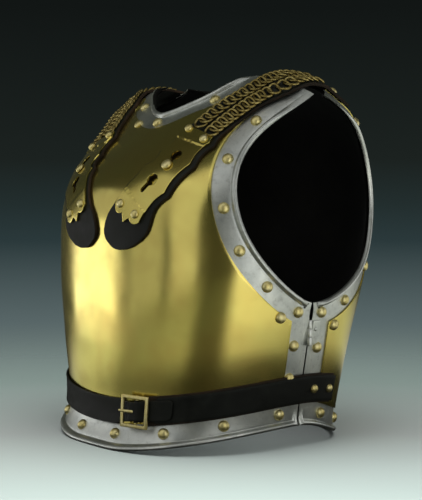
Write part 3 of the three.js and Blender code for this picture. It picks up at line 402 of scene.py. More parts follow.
def sizeAt(name, level):
    # a smooth curve through the sections, with the ends run straight on
    values = np.array(torso[name], float)
    padded = np.concatenate([[2 * values[0] - values[1]], values, [2 * values[-1] - values[-2]]])
    place = np.clip(level, 0, 1) * (len(values) - 1)
    index = np.minimum(place.astype(int), len(values) - 2)
    share = place - index
    a, b, c, d = (padded[index + k] for k in range(4))
    rise = (c - a) * share + (2 * a - 5 * b + 4 * c - d) * share ** 2 + (3 * b - a - 3 * c + d) * share ** 3
    return b + rise / 2


levels = np.linspace(0, 1, 6001)
heightAtLevel = sizeAt("height", levels)


def sectionAt(height):
    level = np.interp(height, heightAtLevel, levels)
    return {name: sizeAt(name, level) for name in torso}


def skin(plate, spots):
    # spots hold the turn from the plate's middle and the height
    turn, height = spots[..., 0], spots[..., 1]
    at = sectionAt(height)
    power = at["roundness"]
    reach = (np.abs(np.sin(turn)) ** power + np.abs(np.cos(turn)) ** power) ** (-1 / power)
    return np.stack([
        at["halfWidth"] * reach * np.sin(turn),
        at["line"] + plate["side"] * at[plate["depth"]] * reach * np.cos(turn),
        height,
    ], -1)


def runLengths(points):
    # the way along a row of points, from its start
    return np.concatenate([[0], np.cumsum(np.linalg.norm(np.diff(points, axis=0), axis=1))])


def unit(vectors):
    return vectors / np.maximum(np.linalg.norm(vectors, axis=-1, keepdims=True), 1e-9)


def outward(plate, spots):
    turnStep, heightStep = np.array([0.01, 0]), np.array([0, 0.8])
    across = skin(plate, spots + turnStep) - skin(plate, spots - turnStep)
    upward = skin(plate, spots + heightStep) - skin(plate, spots - heightStep)
    return -plate["side"] * unit(np.cross(across, upward))


def raised(plate, spots, lift):
    return skin(plate, spots) + outward(plate, spots) * np.asarray(lift, float)[..., None]


def turnAcross(plate, across, height):
    at = sectionAt(height)
    share = np.minimum(np.abs(across) / at["halfWidth"], 1)
    power = at["roundness"]
    return np.sign(across) * np.arctan2(share, (1 - share ** power) ** (1 / power))


def turnAtDepth(plate, depth, height):
    at = sectionAt(height)
    power = at["roundness"]
    share = np.maximum(plate["side"] * (depth - at["line"]), edges["seamGap"]) / at[plate["depth"]]
    return np.arctan2((1 - np.minimum(share, 1) ** power) ** (1 / power), share)


def spotOf(plate, points):
    at = sectionAt(points[..., 2])
    turn = np.arctan2(points[..., 0] / at["halfWidth"],
                      plate["side"] * (points[..., 1] - at["line"]) / at[plate["depth"]])
    return np.stack([turn, points[..., 2]], -1)


def spotsOf(turn, height):
    return np.stack(np.broadcast_arrays(np.asarray(turn, float), np.asarray(height, float)), -1)


def hemHeight(plate, turn):
    share = (np.abs(np.sin(turn)) - edges["hemFlatShare"]) / (1 - edges["hemFlatShare"])
    return edges["hemRise"] * np.maximum(share, 0) ** plate["hemPower"]


def armholeSpot(plate, sweep):
    height = edges["armholeHeight"] - edges["armholeRadius"] * np.cos(sweep)
    lean = plate["armholeLean"] * (1 - np.cos(sweep)) / 2
    power = np.where(height < edges["armholeHeight"], plate["armholeLowPower"], plate["armholeTopPower"])
    bow = plate["side"] * plate["armholeReach"] * np.abs(np.sin(sweep)) ** power
    return spotsOf(turnAtDepth(plate, lean + bow, height), height)


def neckSpot(plate, share):
    height = plate["neckLow"] + (edges["neckTop"] - plate["neckLow"]) * np.abs(share) ** edges["neckPower"]
    return spotsOf(turnAcross(plate, edges["neckHalfWidth"] * share, height), height)


def offLine(plate, spots):
    return plate["side"] * (skin(plate, spots)[..., 1] - sectionAt(spots[..., 1])["line"])


armCentre = np.array([188.0, 0, edges["armholeHeight"]])
neckCentre = np.array([0, 0, edges["neckTop"]])


def insetSpots(plate, edge, places, inset, centre):
    spots = edge(plate, places)
    points = skin(plate, spots)
    along = skin(plate, edge(plate, places + 0.004)) - skin(plate, edge(plate, places - 0.004))
    away = unit(np.cross(along, outward(plate, spots)))
    away *= np.where((away * (points - centre)).sum(-1, keepdims=True) < 0, -1, 1)
    return spotOf(plate, points + away * inset) if inset else spots


def resample(plate, spots, count):
    # evenly spaced spots along a run
    points = skin(plate, spots)
    lengths = runLengths(points)
    wanted = np.linspace(0, lengths[-1], count + 1)
    return np.stack([np.interp(wanted, lengths, spots[:, k]) for k in (0, 1)], -1)


counts = {"seam": 18, "armhole": 56, "neck": 40, "shoulder": 10}


def outline(plate, inset):
    # the wearer's left half of a plate: hem, then seam and armhole, then neck and shoulder
    fine = np.linspace(0, 1, 241)
    seamDepth = edges["seamGap"] + inset
    clearOuter = offLine(plate, armholeSpot(plate, np.array([math.pi])))[0] + inset
    clearInner = offLine(plate, neckSpot(plate, np.array([1.0])))[0] + inset
    armhole = insetSpots(plate, armholeSpot, math.pi * fine, inset, armCentre)
    limit = np.where(armhole[:, 1] < edges["armholeHeight"], seamDepth, clearOuter)
    armhole = armhole[offLine(plate, armhole) > limit - 0.01]
    neck = insetSpots(plate, neckSpot, fine, inset, neckCentre)
    neck = neck[offLine(plate, neck) > clearInner - 0.01]
    neck[0, 0] = 0

    def seamSpots(height):
        # the gap widens above the hinge
        share = easeIn((height - edges["upperGapFrom"]) / edges["upperGapEase"])
        wider = (edges["upperGap"] - edges["seamGap"]) * share
        return spotsOf(turnAtDepth(plate, plate["side"] * (seamDepth + wider), height), height)

    foot = seamSpots(np.array([edges["hemRise"] + inset]))[0]
    seam = seamSpots(between(foot[1], armhole[0, 1], fine))
    hemTurns = fine * foot[0]
    hem = spotsOf(hemTurns, hemHeight(plate, hemTurns) + inset)
    hem[-1] = foot
    shoulder = np.stack([neck[-1], armhole[-1]])
    return {
        "bottom": resample(plate, hem, counts["neck"] + counts["shoulder"]),
        "side": np.concatenate([resample(plate, seam, counts["seam"])[:-1],
                                resample(plate, armhole, counts["armhole"])]),
        "top": np.concatenate([resample(plate, neck, counts["neck"])[:-1],
                               resample(plate, shoulder, counts["shoulder"])]),
    }


def mirrorSpots(spots):
    return spots * np.array([-1, 1])


def fillOutline(shape):
    # rows of spots over the whole outline, from the hem up
    bottom, side, top = shape["bottom"], shape["side"], shape["top"]
    rows, half = len(side) - 1, len(bottom) - 1
    u = np.linspace(0, 1, 2 * half + 1)[None, :, None]
    v = np.linspace(0, 1, rows + 1)[:, None, None]
    lowEdge = np.concatenate([mirrorSpots(bottom[:0:-1]), bottom])[None]
    highEdge = np.concatenate([mirrorSpots(top[:0:-1]), top])[None]
    leftEdge, rightEdge = mirrorSpots(side)[:, None], side[:, None]
    rising = between(lowEdge, highEdge, v)
    crossing = between(leftEdge, rightEdge, u)
    lowCorners = between(lowEdge[:, :1], lowEdge[:, -1:], u)
    highCorners = between(highEdge[:, :1], highEdge[:, -1:], u)
    corners = between(lowCorners, highCorners, v)
    return rising + crossing - corners


def loopOutline(shape):
    # all the way round an outline, with a number for the edge: 0 hem, 1 seam, 2 armhole, 3 neck, 4 shoulder
    bottom, side, top = shape["bottom"], shape["side"], shape["top"]
    sideEdge = np.where(np.arange(len(side)) <= counts["seam"], 1, 2)
    topEdge = np.where(np.arange(len(top)) < counts["neck"], 3, 4)
    parts = [
        (mirrorSpots(bottom[:0:-1]), np.zeros(len(bottom) - 1)), (bottom, np.zeros(len(bottom))),
        (side[1:], sideEdge[1:]), (top[-2::-1], topEdge[-2::-1]), (mirrorSpots(top[1:-1]), topEdge[1:-1]),
        (mirrorSpots(side[::-1]), sideEdge[::-1]),
    ]
    return np.concatenate([spots for spots, _ in parts]), np.concatenate([edge for _, edge in parts])


# steel plates: a border with its turned edge, and the sheet behind the brass

sheetSizes = {"brassTop": 1.8, "brassFoot": 0.1, "liningTop": -3.1, "liningInset": 3, "liningThick": 1.5}

# section of the turned edge from the flat, over the roll and back inside: inset from the rim, lift
edgeSection = {
    "flat": [(31.0, 0.0), (24.0, 0.0), (16.0, 0.0), (10.5, 0.0), (8.4, 0.0), (7.6, -0.1), (7.0, -0.2),
             (6.5, 0.1)],
    "roll": [(6.1, 1.0), (5.6, 2.1), (4.8, 3.2), (3.7, 3.9), (2.5, 4.0), (1.4, 3.5), (0.6, 2.6), (0.2, 1.5),
             (0.1, 0.3)],
    "under": [(0.2, -1.0), (0.8, -1.8), (2.0, -2.0), (6.0, -2.0), (14.0, -2.0), (31.0, -2.0)],
}


def steelSheet(plate, name):
    section = edgeSection["flat"] + edgeSection["roll"] + edgeSection["under"]
    loops = {}
    for inset, _ in section:
        if inset not in loops:
            loops[inset] = loopOutline(outline(plate, inset))
    rim, rimEdge = loops[edgeSection["roll"][-1][0]]
    # the roll dies away towards the seam, the shoulder and the neck's outer corners
    offSeam = (np.abs(offLine(plate, rim)) - edges["seamGap"]) / edges["bead"] - 1
    offShoulder = (edges["shoulderHeight"] - rim[:, 1]) / edges["border"]
    offCrown = (edges["neckTop"] - rim[:, 1]) / edges["bead"]
    fade = np.select([rimEdge == 0, rimEdge == 2, rimEdge == 3],
                     [np.ones(len(rim)), np.minimum(offSeam, offShoulder), offCrown], 0.0)
    fade = easeIn(fade)
    rows = []
    for inset, lift in section:
        spots = loops[inset][0]
        normals = outward(plate, spots)
        level = normals * np.array([1, 1, 0])
        # the hem's roll stands out level, so that it rests flat
        share = easeIn((edges["hemLevelFrom"] - inset) / edges["hemLevelEase"]) * (rimEdge == 0) * (lift >= 0)
        normals = unit(between(normals, unit(level), share[:, None]))
        rise = lift * (fade if lift > 0 else 1)
        rows.append(skin(plate, spots) + normals * np.broadcast_to(rise, len(spots))[:, None])
    rows.append(rows[0])
    points = np.stack(rows)
    points = np.concatenate([points, points[:, :1]], 1)
    piece = closedPiece(name, points)
    # the inside, behind the turned edge, is varnished
    piece.data.materials.append(armourSteel)
    piece.data.materials.append(varnish)
    for polygon in piece.data.polygons:
        away = Vector((polygon.center.x, polygon.center.y, 0)).normalized()
        polygon.material_index = int(polygon.normal.dot(away) < -0.25)
    return smooth(piece, 50)


def facingSheet(plate, name):
    spots = fillOutline(outline(plate, edges["border"]))
    ups = outward(plate, spots)
    piece = gridPiece(name, skin(plate, spots) + ups * sheetSizes["brassTop"], ups)
    modify(piece, "SOLIDIFY", thickness=(sheetSizes["brassTop"] - sheetSizes["brassFoot"]) * mm, offset=-1)
    easeRims(piece, 0.5)
    return smooth(piece, 35)


def liningSheet(plate, name):
    spots = fillOutline(outline(plate, sheetSizes["liningInset"]))[::2, ::2]
    ups = outward(plate, spots)
    piece = gridPiece(name, skin(plate, spots) + ups * sheetSizes["liningTop"], ups)
    modify(piece, "SOLIDIFY", thickness=sheetSizes["liningThick"] * mm, offset=-1)
    return smooth(piece, 50)


# each plate's steel border, brass facing and lining, hung on its body in place of its solids
for plate, body in ((breast, "breast"), (back, "back")):
    dress(steelSheet(plate, body + "SteelBorder"), body, "steel", [armourSteel], body + "_plate")
    dress(facingSheet(plate, body + "BrassFacing"), body, "brass", [sheetBrass], body + "_facing")
    lining = dress(liningSheet(plate, body + "Lining"), body, "lining", [liningCloth], body + "_lining")
print("sheets made")


# studs and rivets

studSizes = {
    "radius": 6.3, "rise": 5.0, "rivetRadius": 5.0, "rivetRise": 3.8,
    "inset": 15.5, "hemHeight": 16, "hemCount": 4, "neckShares": [0.66, 0.001],
}


def domeHead(name, radius, rise, sink=1.0):
    # a round head from half a ball, closed below where it sinks into the sheet
    deselectAll()
    bpy.ops.mesh.primitive_uv_sphere_add(segments=20, ring_count=14, radius=1)
    head = bpy.context.active_object
    head.name = name
    editAll(head, lambda: bpy.ops.mesh.bisect(plane_co=(0, 0, 0), plane_no=(0, 0, 1), clear_inner=True,
                                              use_fill=True))
    points = verticesOf(head)
    level = np.where(points[:, 2] < 0.02, -sink, np.abs(points[:, 2]) ** 0.9 * rise)
    moveVertices(head, np.stack([points[:, 0] * radius, points[:, 1] * radius, level], -1) * mm)
    editAll(head, pointOutwards)
    return smooth(head, 60)


def frameMatrix(point, along, up):
    # a place on the object in metres, with x along the run and z off the surface
    up = unit(np.asarray(up, float))
    across = unit(np.cross(along, up))
    forward = np.cross(up, across)
    side = np.cross(up, forward)
    matrix = Matrix.Identity(4)
    for row in range(3):
        matrix[row][0], matrix[row][1], matrix[row][2] = forward[row], side[row], up[row]
        matrix[row][3] = point[row] * mm
    return matrix


def surfaceMatrix(plate, spot, lift):
    spot = np.asarray(spot, float)
    ahead = skin(plate, spot + [0.01, 0]) - skin(plate, spot - [0.01, 0])
    return frameMatrix(raised(plate, spot, lift), unit(ahead), outward(plate, spot))


def stamp(name, head, matrices):
    # copies of one head, each with its own mesh, joined as one piece
    return joined(name, [copyOf(head, f"{name}{i}", matrix) for i, matrix in enumerate(matrices)])


studHead = domeHead("studHead", studSizes["radius"], studSizes["rise"])
rivetHead = domeHead("rivetHead", studSizes["rivetRadius"], studSizes["rivetRise"])


def hemStudSpots(plate):
    turns = np.linspace(0, math.pi / 2, 2000)
    spots = spotsOf(turns, hemHeight(plate, turns) + studSizes["hemHeight"])
    points = skin(plate, spots)
    lengths = runLengths(points)
    last = len(turns) - 1
    wanted = plate["hemPitch"] * (np.arange(studSizes["hemCount"]) + 0.5)
    return [spots[min(index, last)] for index in np.searchsorted(lengths, wanted)]


def borderStudSpots(plate):
    armhole = insetSpots(plate, armholeSpot, np.array(plate["armholeStuds"]), studSizes["inset"], armCentre)
    heights = np.array(plate["seamStuds"], float)
    seam = spotsOf(turnAtDepth(plate, plate["side"] * plate["seamStudDepth"], heights), heights)
    neck = insetSpots(plate, neckSpot, np.array(studSizes["neckShares"]), studSizes["inset"], neckCentre)
    half = [*armhole, *seam, neck[0]]
    return half, neck[1]


# studs that the solids leave out, as places on the object and the sheet's rise under them: on the brass by
# the corner of each plate, one half hidden by the belt, and one beside the middle of the neck
extraStuds = {
    "breast": [(177, -44, 147.5, 1.8), (167, -21, 79, 0), (-40, -76, 361, 0)],
    "back": [(176.5, 37, 135, 1.8)],
}

for plate, body in ((breast, "breast"), (back, "back")):
    half, middle = borderStudSpots(plate)
    half.extend(hemStudSpots(plate))
    matrices = [surfaceMatrix(plate, spot, 0) for spot in (*half, *map(mirrorSpots, half), middle)]
    for x, y, z, lift in extraStuds[body]:
        spot = spotOf(plate, np.array([x, y, z], float))
        matrices.append(surfaceMatrix(plate, spot, lift))
        if x > 0:
            matrices.append(surfaceMatrix(plate, mirrorSpots(spot), lift))
    dress(stamp(body + "Studs", studHead, matrices), body, "stud_brass", [studBrass])
print("studs made")


# line of the shoulder straps

strapLine = {
    "front": [(33.4, 215.4), (52.5, 261), (83, 304), (93.5, 338), (103, 360), (118, 381), (132, 395)],
    "crest": (134, 16, 406.5), "crestUp": (0.3, 0, 0.95), "back": [(134, 400), (134, 392), (134, 384)],
    "lift": 3.2, "bridge": 14, "settle": 24, "junction": 350, "pivotDepth": 53, "bendHalf": 5,
}


def throughPoints(stops, samples):
    # a smooth curve through the stops that doesn't overshoot where they lie close
    stops = np.asarray(stops, float)
    padded = np.vstack([2 * stops[0] - stops[1], stops, 2 * stops[-1] - stops[-2]])
    place = np.linspace(0, len(stops) - 1, samples)
    index = np.minimum(place.astype(int), len(stops) - 2)
    t = (place - index)[:, None]
    p = [padded[index + k] for k in range(4)]
    d = [np.linalg.norm(p[k + 1] - p[k], axis=1, keepdims=True) ** 0.5 for k in range(3)]
    start = ((p[1] - p[0]) / d[0] - (p[2] - p[0]) / (d[0] + d[1]) + (p[2] - p[1]) / d[1]) * d[1]
    finish = ((p[2] - p[1]) / d[1] - (p[3] - p[1]) / (d[1] + d[2]) + (p[3] - p[2]) / d[2]) * d[1]
    rise = p[2] - p[1]
    return p[1] + start * t + (3 * rise - 2 * start - finish) * t ** 2 + (start + finish - 2 * rise) * t ** 3


def makeStrapRun():
    stops, ups = [], []
    stretches = ((breast, strapLine["front"]), (None, [strapLine["crest"]]), (back, strapLine["back"]))
    for plate, places in stretches:
        for place in places:
            if plate is None:
                stops.append(place)
                ups.append(strapLine["crestUp"])
                continue
            spot = spotsOf(turnAcross(plate, place[0], place[1]), place[1])
            stops.append(raised(plate, spot, strapLine["lift"]))
            ups.append(outward(plate, spot))
    points = throughPoints(stops, 1201)
    normals = unit(throughPoints(ups, 1201))
    lengths = runLengths(points)
    top = round(1200 * len(strapLine["front"]) / (len(stops) - 1))
    return {"points": points, "ups": normals, "lengths": lengths, "crest": lengths[top], "top": top}


strapRun = makeStrapRun()


def strapAtHeight(height):
    return strapRun["lengths"][np.argmax(strapRun["points"][:, 2] >= height)]


def strapAtDepth(depth):
    beyond = strapRun["points"][:, 1] >= depth
    beyond[:strapRun["top"]] = False
    return strapRun["lengths"][np.argmax(beyond)]


def strapFrames(length):
    lengths = strapRun["lengths"]
    point = np.stack([np.interp(length, lengths, strapRun["points"][:, k]) for k in range(3)], -1)
    ahead = np.stack([np.interp(length + 1.5, lengths, strapRun["points"][:, k]) for k in range(3)], -1)
    behind = np.stack([np.interp(length - 1.5, lengths, strapRun["points"][:, k]) for k in range(3)], -1)
    up = unit(np.stack([np.interp(length, lengths, strapRun["ups"][:, k]) for k in range(3)], -1))
    across = unit(np.cross(unit(ahead - behind), up))
    return point, np.cross(up, across), up, across


def onStrap(length, across, lift):
    # a place on the left strap: length from its tip, across to the wearer's left, lift off its run
    length, across, lift = np.broadcast_arrays(*(np.asarray(v, float) for v in (length, across, lift)))
    point, _, up, side = strapFrames(length)
    flat = point + side * across[..., None] + up * lift[..., None]
    hold = np.clip((np.abs(length - strapRun["crest"]) - strapLine["bridge"]) / strapLine["settle"], 0, 1)
    settled = np.empty_like(flat)
    for plate, mask in ((breast, length < strapRun["crest"]), (back, length >= strapRun["crest"])):
        if mask.any():
            rise = strapLine["lift"] + lift[mask]
            settled[mask] = raised(plate, spotOf(plate, flat[mask] - up[mask] * rise[:, None]), rise)
    return between(flat, settled, hold[..., None])


def strapUps(length, across, lift):
    return onStrap(length, across, np.asarray(lift, float) + 1) - onStrap(length, across, lift)


junction = strapAtHeight(strapLine["junction"])
pivotLength = strapAtDepth(strapLine["pivotDepth"])
strapEnd = strapRun["lengths"][-1]
print("strap run", round(float(junction), 1), round(float(pivotLength), 1), round(float(strapEnd), 1))

# lengths run up the strap from its tip; rims are the leather's distances from the run on either side
strap = {
    "low": -1.2, "high": 2.2, "outerStep": 6.5, "innerStep": 3, "chainOuter": 27, "chainInner": 22.5,
    "anchorStudDepth": 70, "anchorStudAcross": 2, "holeMargin": 1.2, "tipLength": 26, "cutHalf": 0.5,
    "narrowBelow": 4, "narrowEase": 14,
    "outerRim": [(1, -7), (2.5, 0), (5, 6), (13, 18), (25, 29), (35, 34), (43, 35.3), (55, 33.8), (66, 30.5),
                 (73, 28.8)],
    "innerRim": [(1, 12), (2.5, 19), (5, 25.5), (9, 29.5), (14, 31.8), (22, 32.6), (32, 31.6), (44, 27),
                 (55, 25.2)],
}
keyPlate = {
    "low": 2.3, "high": 4.0, "end": 166, "tipHalf": 26.5, "bite": 4.3, "scallop": 32.3, "lastTip": 157,
    "plainBelow": 76, "lobes": 40, "lobeRise": 6, "lobeShare": 0.6,
    "cusp": 35, "cuspShare": 0.28, "notch": 43,
    "keyholes": [112.5, 76.5], "slot": 5.6, "eye": 13.5, "eyeRise": 14.5, "cutDepth": 20, "studAcross": 0.6,
    "lowRivets": [(48.9, -14.2), (51.6, 12.5)], "endRivets": [(162.4, -17.4), (158.4, 15.0)],
    "lowBand": 62, "highBand": 148.5, "bandRise": 1.1,
}


def plateHalf(length):
    # pointed tips between shallow concave bites, plain towards the foot
    bites = np.abs(np.sin(math.pi * (length - keyPlate["lastTip"]) / keyPlate["scallop"])) ** 0.9
    return keyPlate["tipHalf"] - keyPlate["bite"] * np.where(length < keyPlate["plainBelow"], 1, bites)


def leatherRims(length):
    # the leather's inner and outer rim: a rounded tongue, waves along the plate, straight under the chains
    rims = []
    narrow = easeIn((length - keyPlate["end"] + strap["narrowBelow"]) / strap["narrowEase"])
    for stops, step, straight in ((strap["innerRim"], strap["innerStep"], strap["chainInner"]),
                                  (strap["outerRim"], strap["outerStep"], strap["chainOuter"])):
        places, reaches = zip(*stops)
        rim = np.where(length < places[-1], np.interp(length, places, reaches), plateHalf(length) + step)
        rims.append(between(rim, straight, narrow))
    return -rims[0], rims[1]


def bentSheet(name, lengths, across, low, high, holes=(), softness=0.4):
    # cut and eased while flat; rows of (length, across)
    flat = np.stack([lengths, across, np.full_like(lengths, float(high))], -1)
    piece = gridPiece(name, flat, np.array([0, 0, 1.0]))
    modify(piece, "SOLIDIFY", thickness=(high - low) * mm, offset=-1)
    for hole in holes:
        modify(piece, "BOOLEAN", object=hole, operation="DIFFERENCE", solver="EXACT")
        dropPiece(hole)
    easeRims(piece, softness)
    return piece


def markRims(piece, materials):
    for material in materials:
        piece.data.materials.append(material)
    for polygon in piece.data.polygons:
        polygon.material_index = int(abs(polygon.normal.z) < 0.5)


def bend(piece, points):
    moveVertices(piece, onStrap(points[:, 0], points[:, 1], points[:, 2]) * mm)
    editAll(piece, pointOutwards)
    return smooth(piece, 35)


def strapLeather():
    # one leather from the rounded tip to the shoulder
    end = pivotLength - strap["cutHalf"]
    tip = strap["tipLength"]
    fine = np.concatenate([np.linspace(1, tip, 22)[:-1], np.arange(tip, end, 2.5), [end]])
    inner, outer = leatherRims(fine)
    across = between(inner[:, None], outer[:, None], np.linspace(0, 1, 25)[None])
    holes = [keyholeCutter(place, strap["holeMargin"]) for place in keyPlate["keyholes"]]
    lengths = fine[:, None] + 0 * across
    piece = bentSheet("strapLeatherLeft", lengths, across, strap["low"], strap["high"], holes)
    markRims(piece, leathers)
    return bend(piece, verticesOf(piece) / mm)


def strapAnchor():
    fine = np.linspace(pivotLength + strap["cutHalf"], strapEnd, 14)[:, None]
    across = between(-strap["chainInner"], strap["chainOuter"], np.linspace(0, 1, 19)[None]) + 0 * fine
    piece = bentSheet("strapAnchorLeft", fine + 0 * across, across, strap["low"], strap["high"])
    markRims(piece, leathers)
    return bend(piece, verticesOf(piece) / mm)


def ogeeFoot(share):
    # where the plate begins, by its place across from -1 to 1: two lobes and a cusp that points down
    s = np.abs(share)
    middle, inside = keyPlate["lobeShare"], keyPlate["cuspShare"]
    lobe = keyPlate["lobes"] + keyPlate["lobeRise"] * np.abs((s - middle) / (1 - middle)) ** 2.2
    cusp = between(keyPlate["cusp"], keyPlate["notch"], np.clip(s / inside, 0, 1) ** 0.85)
    return np.where(s < inside, np.minimum(cusp, lobe), lobe)


def keyholeCutter(length, margin=0.0):
    # a narrow slot that opens upwards into a round eye
    slotRadius, eyeRadius = keyPlate["slot"] / 2 + margin, keyPlate["eye"] / 2 + margin
    rise = keyPlate["eyeRise"]
    parts = []
    for radius, place in ((eyeRadius, length + rise), (slotRadius, length)):
        bpy.ops.mesh.primitive_cylinder_add(vertices=32, radius=radius * mm, depth=keyPlate["cutDepth"] * mm,
                                            location=(place * mm, 0, 0))
        parts.append(bpy.context.active_object)
    bpy.ops.mesh.primitive_cube_add(size=1, location=((length + rise / 2) * mm, 0, 0))
    slot = bpy.context.active_object
    slot.scale = (rise * mm, 2 * slotRadius * mm, keyPlate["cutDepth"] * mm)
    for part in (*parts, slot):
        applyPlace(part)
    for part in parts:
        modify(slot, "BOOLEAN", object=part, operation="UNION", solver="EXACT")
        dropPiece(part)
    return slot


def keyholePlate():
    v = np.linspace(0, 1, 84)[:, None]
    u = np.linspace(-1, 1, 41)[None]
    lengths = between(ogeeFoot(u), keyPlate["end"] + 0 * u, v)
    holes = [keyholeCutter(place) for place in keyPlate["keyholes"]]
    piece = bentSheet("keyholePlateLeft", lengths, plateHalf(lengths) * u, keyPlate["low"], keyPlate["high"],
                      holes, 0.35)
    points = verticesOf(piece) / mm
    # raised bands at both ends, where the plate is doubled for its rivets
    bands = np.maximum(1 - easeIn((points[:, 0] - keyPlate["lowBand"]) / 1.0),
                       easeIn((points[:, 0] - keyPlate["highBand"]) / 1.0))
    points[:, 2] += keyPlate["bandRise"] * bands * (points[:, 2] > (keyPlate["low"] + keyPlate["high"]) / 2)
    return bend(piece, points)


def turnedPiece(name, profile, segments=28):
    # a profile of radius and height turned round the z axis
    angles = np.linspace(0, 2 * math.pi, segments + 1)
    profile = np.asarray(profile, float)
    points = np.stack([profile[:, :1] * np.cos(angles), profile[:, :1] * np.sin(angles),
                       np.broadcast_to(profile[:, 1:], (len(profile), len(angles)))], -1)
    return smooth(closedPiece(name, points), 50)


def strapMatrix(length, across, lift):
    point = onStrap(length, across, lift)
    up = strapUps(length, across, lift)
    _, along, _, _ = strapFrames(np.asarray(length, float))
    return frameMatrix(point, along, up)


# radius and height from the foot in the brass, up the neck and over the head
hookProfile = [
    (0, 1.0), (4, 1.0), (4, 2.4), (2.4, 2.8), (2.2, 4.4), (2.3, 7.4), (5.2, 7.5),
    (6.0, 8.0), (6.1, 8.9), (5.6, 10.1), (4.4, 11.0), (2.6, 11.6), (1.2, 11.8), (0, 11.85),
]


def addPair(piece, bodyStem, slotName, materials, *nodeStems):
    # the left piece and its mirror on the wearer's right
    right = mirroredCopy(piece, piece.name[:-4] + "Right")
    for each, side in ((piece, "left"), (right, "right")):
        body = bodyStem if bodyStem in ("back", "breast", None) else f"{bodyStem}_{side}"
        dress(each, body, slotName, materials, *[f"{nodeStem}_{side}" for nodeStem in nodeStems])
    return piece, right


def bendAtJunction(pair):
    # bakes each piece of the pair in place; the points either side of the junction between the keyhole plate
    # and the shoulder are worked out but not used
    for piece, side, sign in zip(pair, ("left", "right"), (1, -1)):
        shifts = (-strapLine["bendHalf"], strapLine["bendHalf"])
        start, end = (onStrap(junction + shift, 0, 0) * [sign * mm, mm, mm] for shift in shifts)
        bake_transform(piece)


bendAtJunction(addPair(strapLeather(), None, "leather", leathers, "strap_leather", "strap_tongue"))
addPair(strapAnchor(), "back", "leather", leathers, "strap_anchor")
addPair(keyholePlate(), "plate", "brass", [sheetBrass], "keyhole_plate")

hook = turnedPiece("hookHead", hookProfile)
hookPlace = strapMatrix(keyPlate["keyholes"][0], keyPlate["studAcross"], -strapLine["lift"])
hookLeft = copyOf(hook, "hookStudLeft", hookPlace)
addPair(hookLeft, "breast", "stud_brass", [studBrass], "strap_stud")

anchorPlace = strapMatrix(strapAtDepth(strap["anchorStudDepth"]), strap["anchorStudAcross"], strap["high"])
anchorLeft = copyOf(rivetHead, "anchorStudLeft", anchorPlace)
addPair(anchorLeft, "back", "stud_brass", [studBrass], "anchor_stud")


def plateRivets(name, places):
    lift = keyPlate["high"] + keyPlate["bandRise"]
    return stamp(name, rivetHead, [strapMatrix(length, across, lift) for length, across in places])


addPair(plateRivets("lowRivetsLeft", keyPlate["lowRivets"]), "plate", "stud_brass", [studBrass],
        "low_rivet_inner", "low_rivet_outer")
addPair(plateRivets("endRivetsLeft", keyPlate["endRivets"]), "plate", "stud_brass", [studBrass],
        "end_rivet_inner", "end_rivet_outer")
print("straps made")


# curb chains, link by link

chain = {
    "rows": {"Inner": {"across": -9.7, "start": 174}, "Outer": {"across": 14.4, "start": 171}}, "lastGap": 6,
    "length": 14.5, "width": 20, "wire": 2.7, "pitch": 7.9, "twist": 2.4, "lift": 4.9, "oval": 0.8,
}


def curbLink():
    # an oval of round wire, twisted so that each end passes over one side of the next and under the other
    around = np.linspace(0, 2 * math.pi, 33)[:, None]
    section = np.linspace(0, 2 * math.pi, 9)[None]
    halfLength, halfWidth = ((chain[size] - chain["wire"]) / 2 for size in ("length", "width"))
    oval = chain["oval"]
    x = halfLength * np.sign(np.cos(around)) * np.abs(np.cos(around)) ** oval
    y = halfWidth * np.sign(np.sin(around)) * np.abs(np.sin(around)) ** oval
    z = chain["twist"] * np.sin(around) * np.cos(around)
    centre = np.concatenate([x, y, z], 1)[:, None]
    out = np.concatenate([np.cos(around) * halfWidth, np.sin(around) * halfLength, 0 * around], 1)
    out = unit(out)[:, None]
    radius = chain["wire"] / 2
    ring = out * np.cos(section)[..., None] + np.array([0, 0, 1.0]) * np.sin(section)[..., None]
    points = centre + radius * ring
    return smooth(closedPiece("curbLink", points), 80)


def chainRow(name, across, start):
    count = int((pivotLength - chain["lastGap"] - chain["length"] / 2 - start) // chain["pitch"])
    lengths = start + chain["pitch"] * np.arange(count + 1)
    return stamp(name, link, [strapMatrix(length, across, chain["lift"]) for length in lengths])


link = curbLink()
for word, row in chain["rows"].items():
    links = chainRow(f"chain{word}Left", row["across"], row["start"])
    bendAtJunction(addPair(links, None, "chain_brass", [chainBrass], "chain_" + word.lower()))
print("chains made")


# waist belt

belt = {
    "height": 39, "rise": 27, "half": 14.5, "endHalf": 12, "low": 2.0, "high": 5.4, "thinner": 0.8,
    "endDepth": 52, "endLow": 2.0, "endHigh": 4.6, "rivetDepths": [15, 41], "rightPivot": 12, "rightEnd": 55,
    "cutHalf": 0.5, "step": 3.5, "shoulder": 22, "shoulderEase": 4, "shoulderStops": [22.5, 24, 25.5],
    "nearStops": (4, 21, 8), "farFrom": 29,
    "seamEase": 14, "bendPast": 4, "bendLift": 4, "prongRoom": 3,
}
# the belt's free end on the wearer's right: it runs through the buckle to a rounded tip
tail = {
    "end": 44, "tipLength": 6, "tipShare": 0.7, "half": 11.8, "thick": 2.2, "narrowFrom": -26,
    "flatFrom": -42, "fine": (-41, 40, 82), "tipStops": [41.5, 43, 44],
    "low": 3.2, "foot": 3.4, "tip": 5.7, "rollRoom": 1.5,
}
# a wider brown backing, sewn under the belt from the buckle to the rear end
backingSizes = {"start": 9, "short": 2, "lastRow": 3, "rise": 2.0, "low": 1.9, "high": 3.4, "thinner": 0.5}
buckle = {
    "turn": 0.39, "length": 38, "height": 35, "bar": 3.6, "thickShare": 0.85, "low": 8.4, "centreBar": 1.3,
    "centreLift": 7.2, "roll": 2.9, "crest": 10.5, "underBar": 4.2, "overBelt": 5.9,
    "lugLength": 4, "lugHeight": 5, "lugRise": 1.2,
}


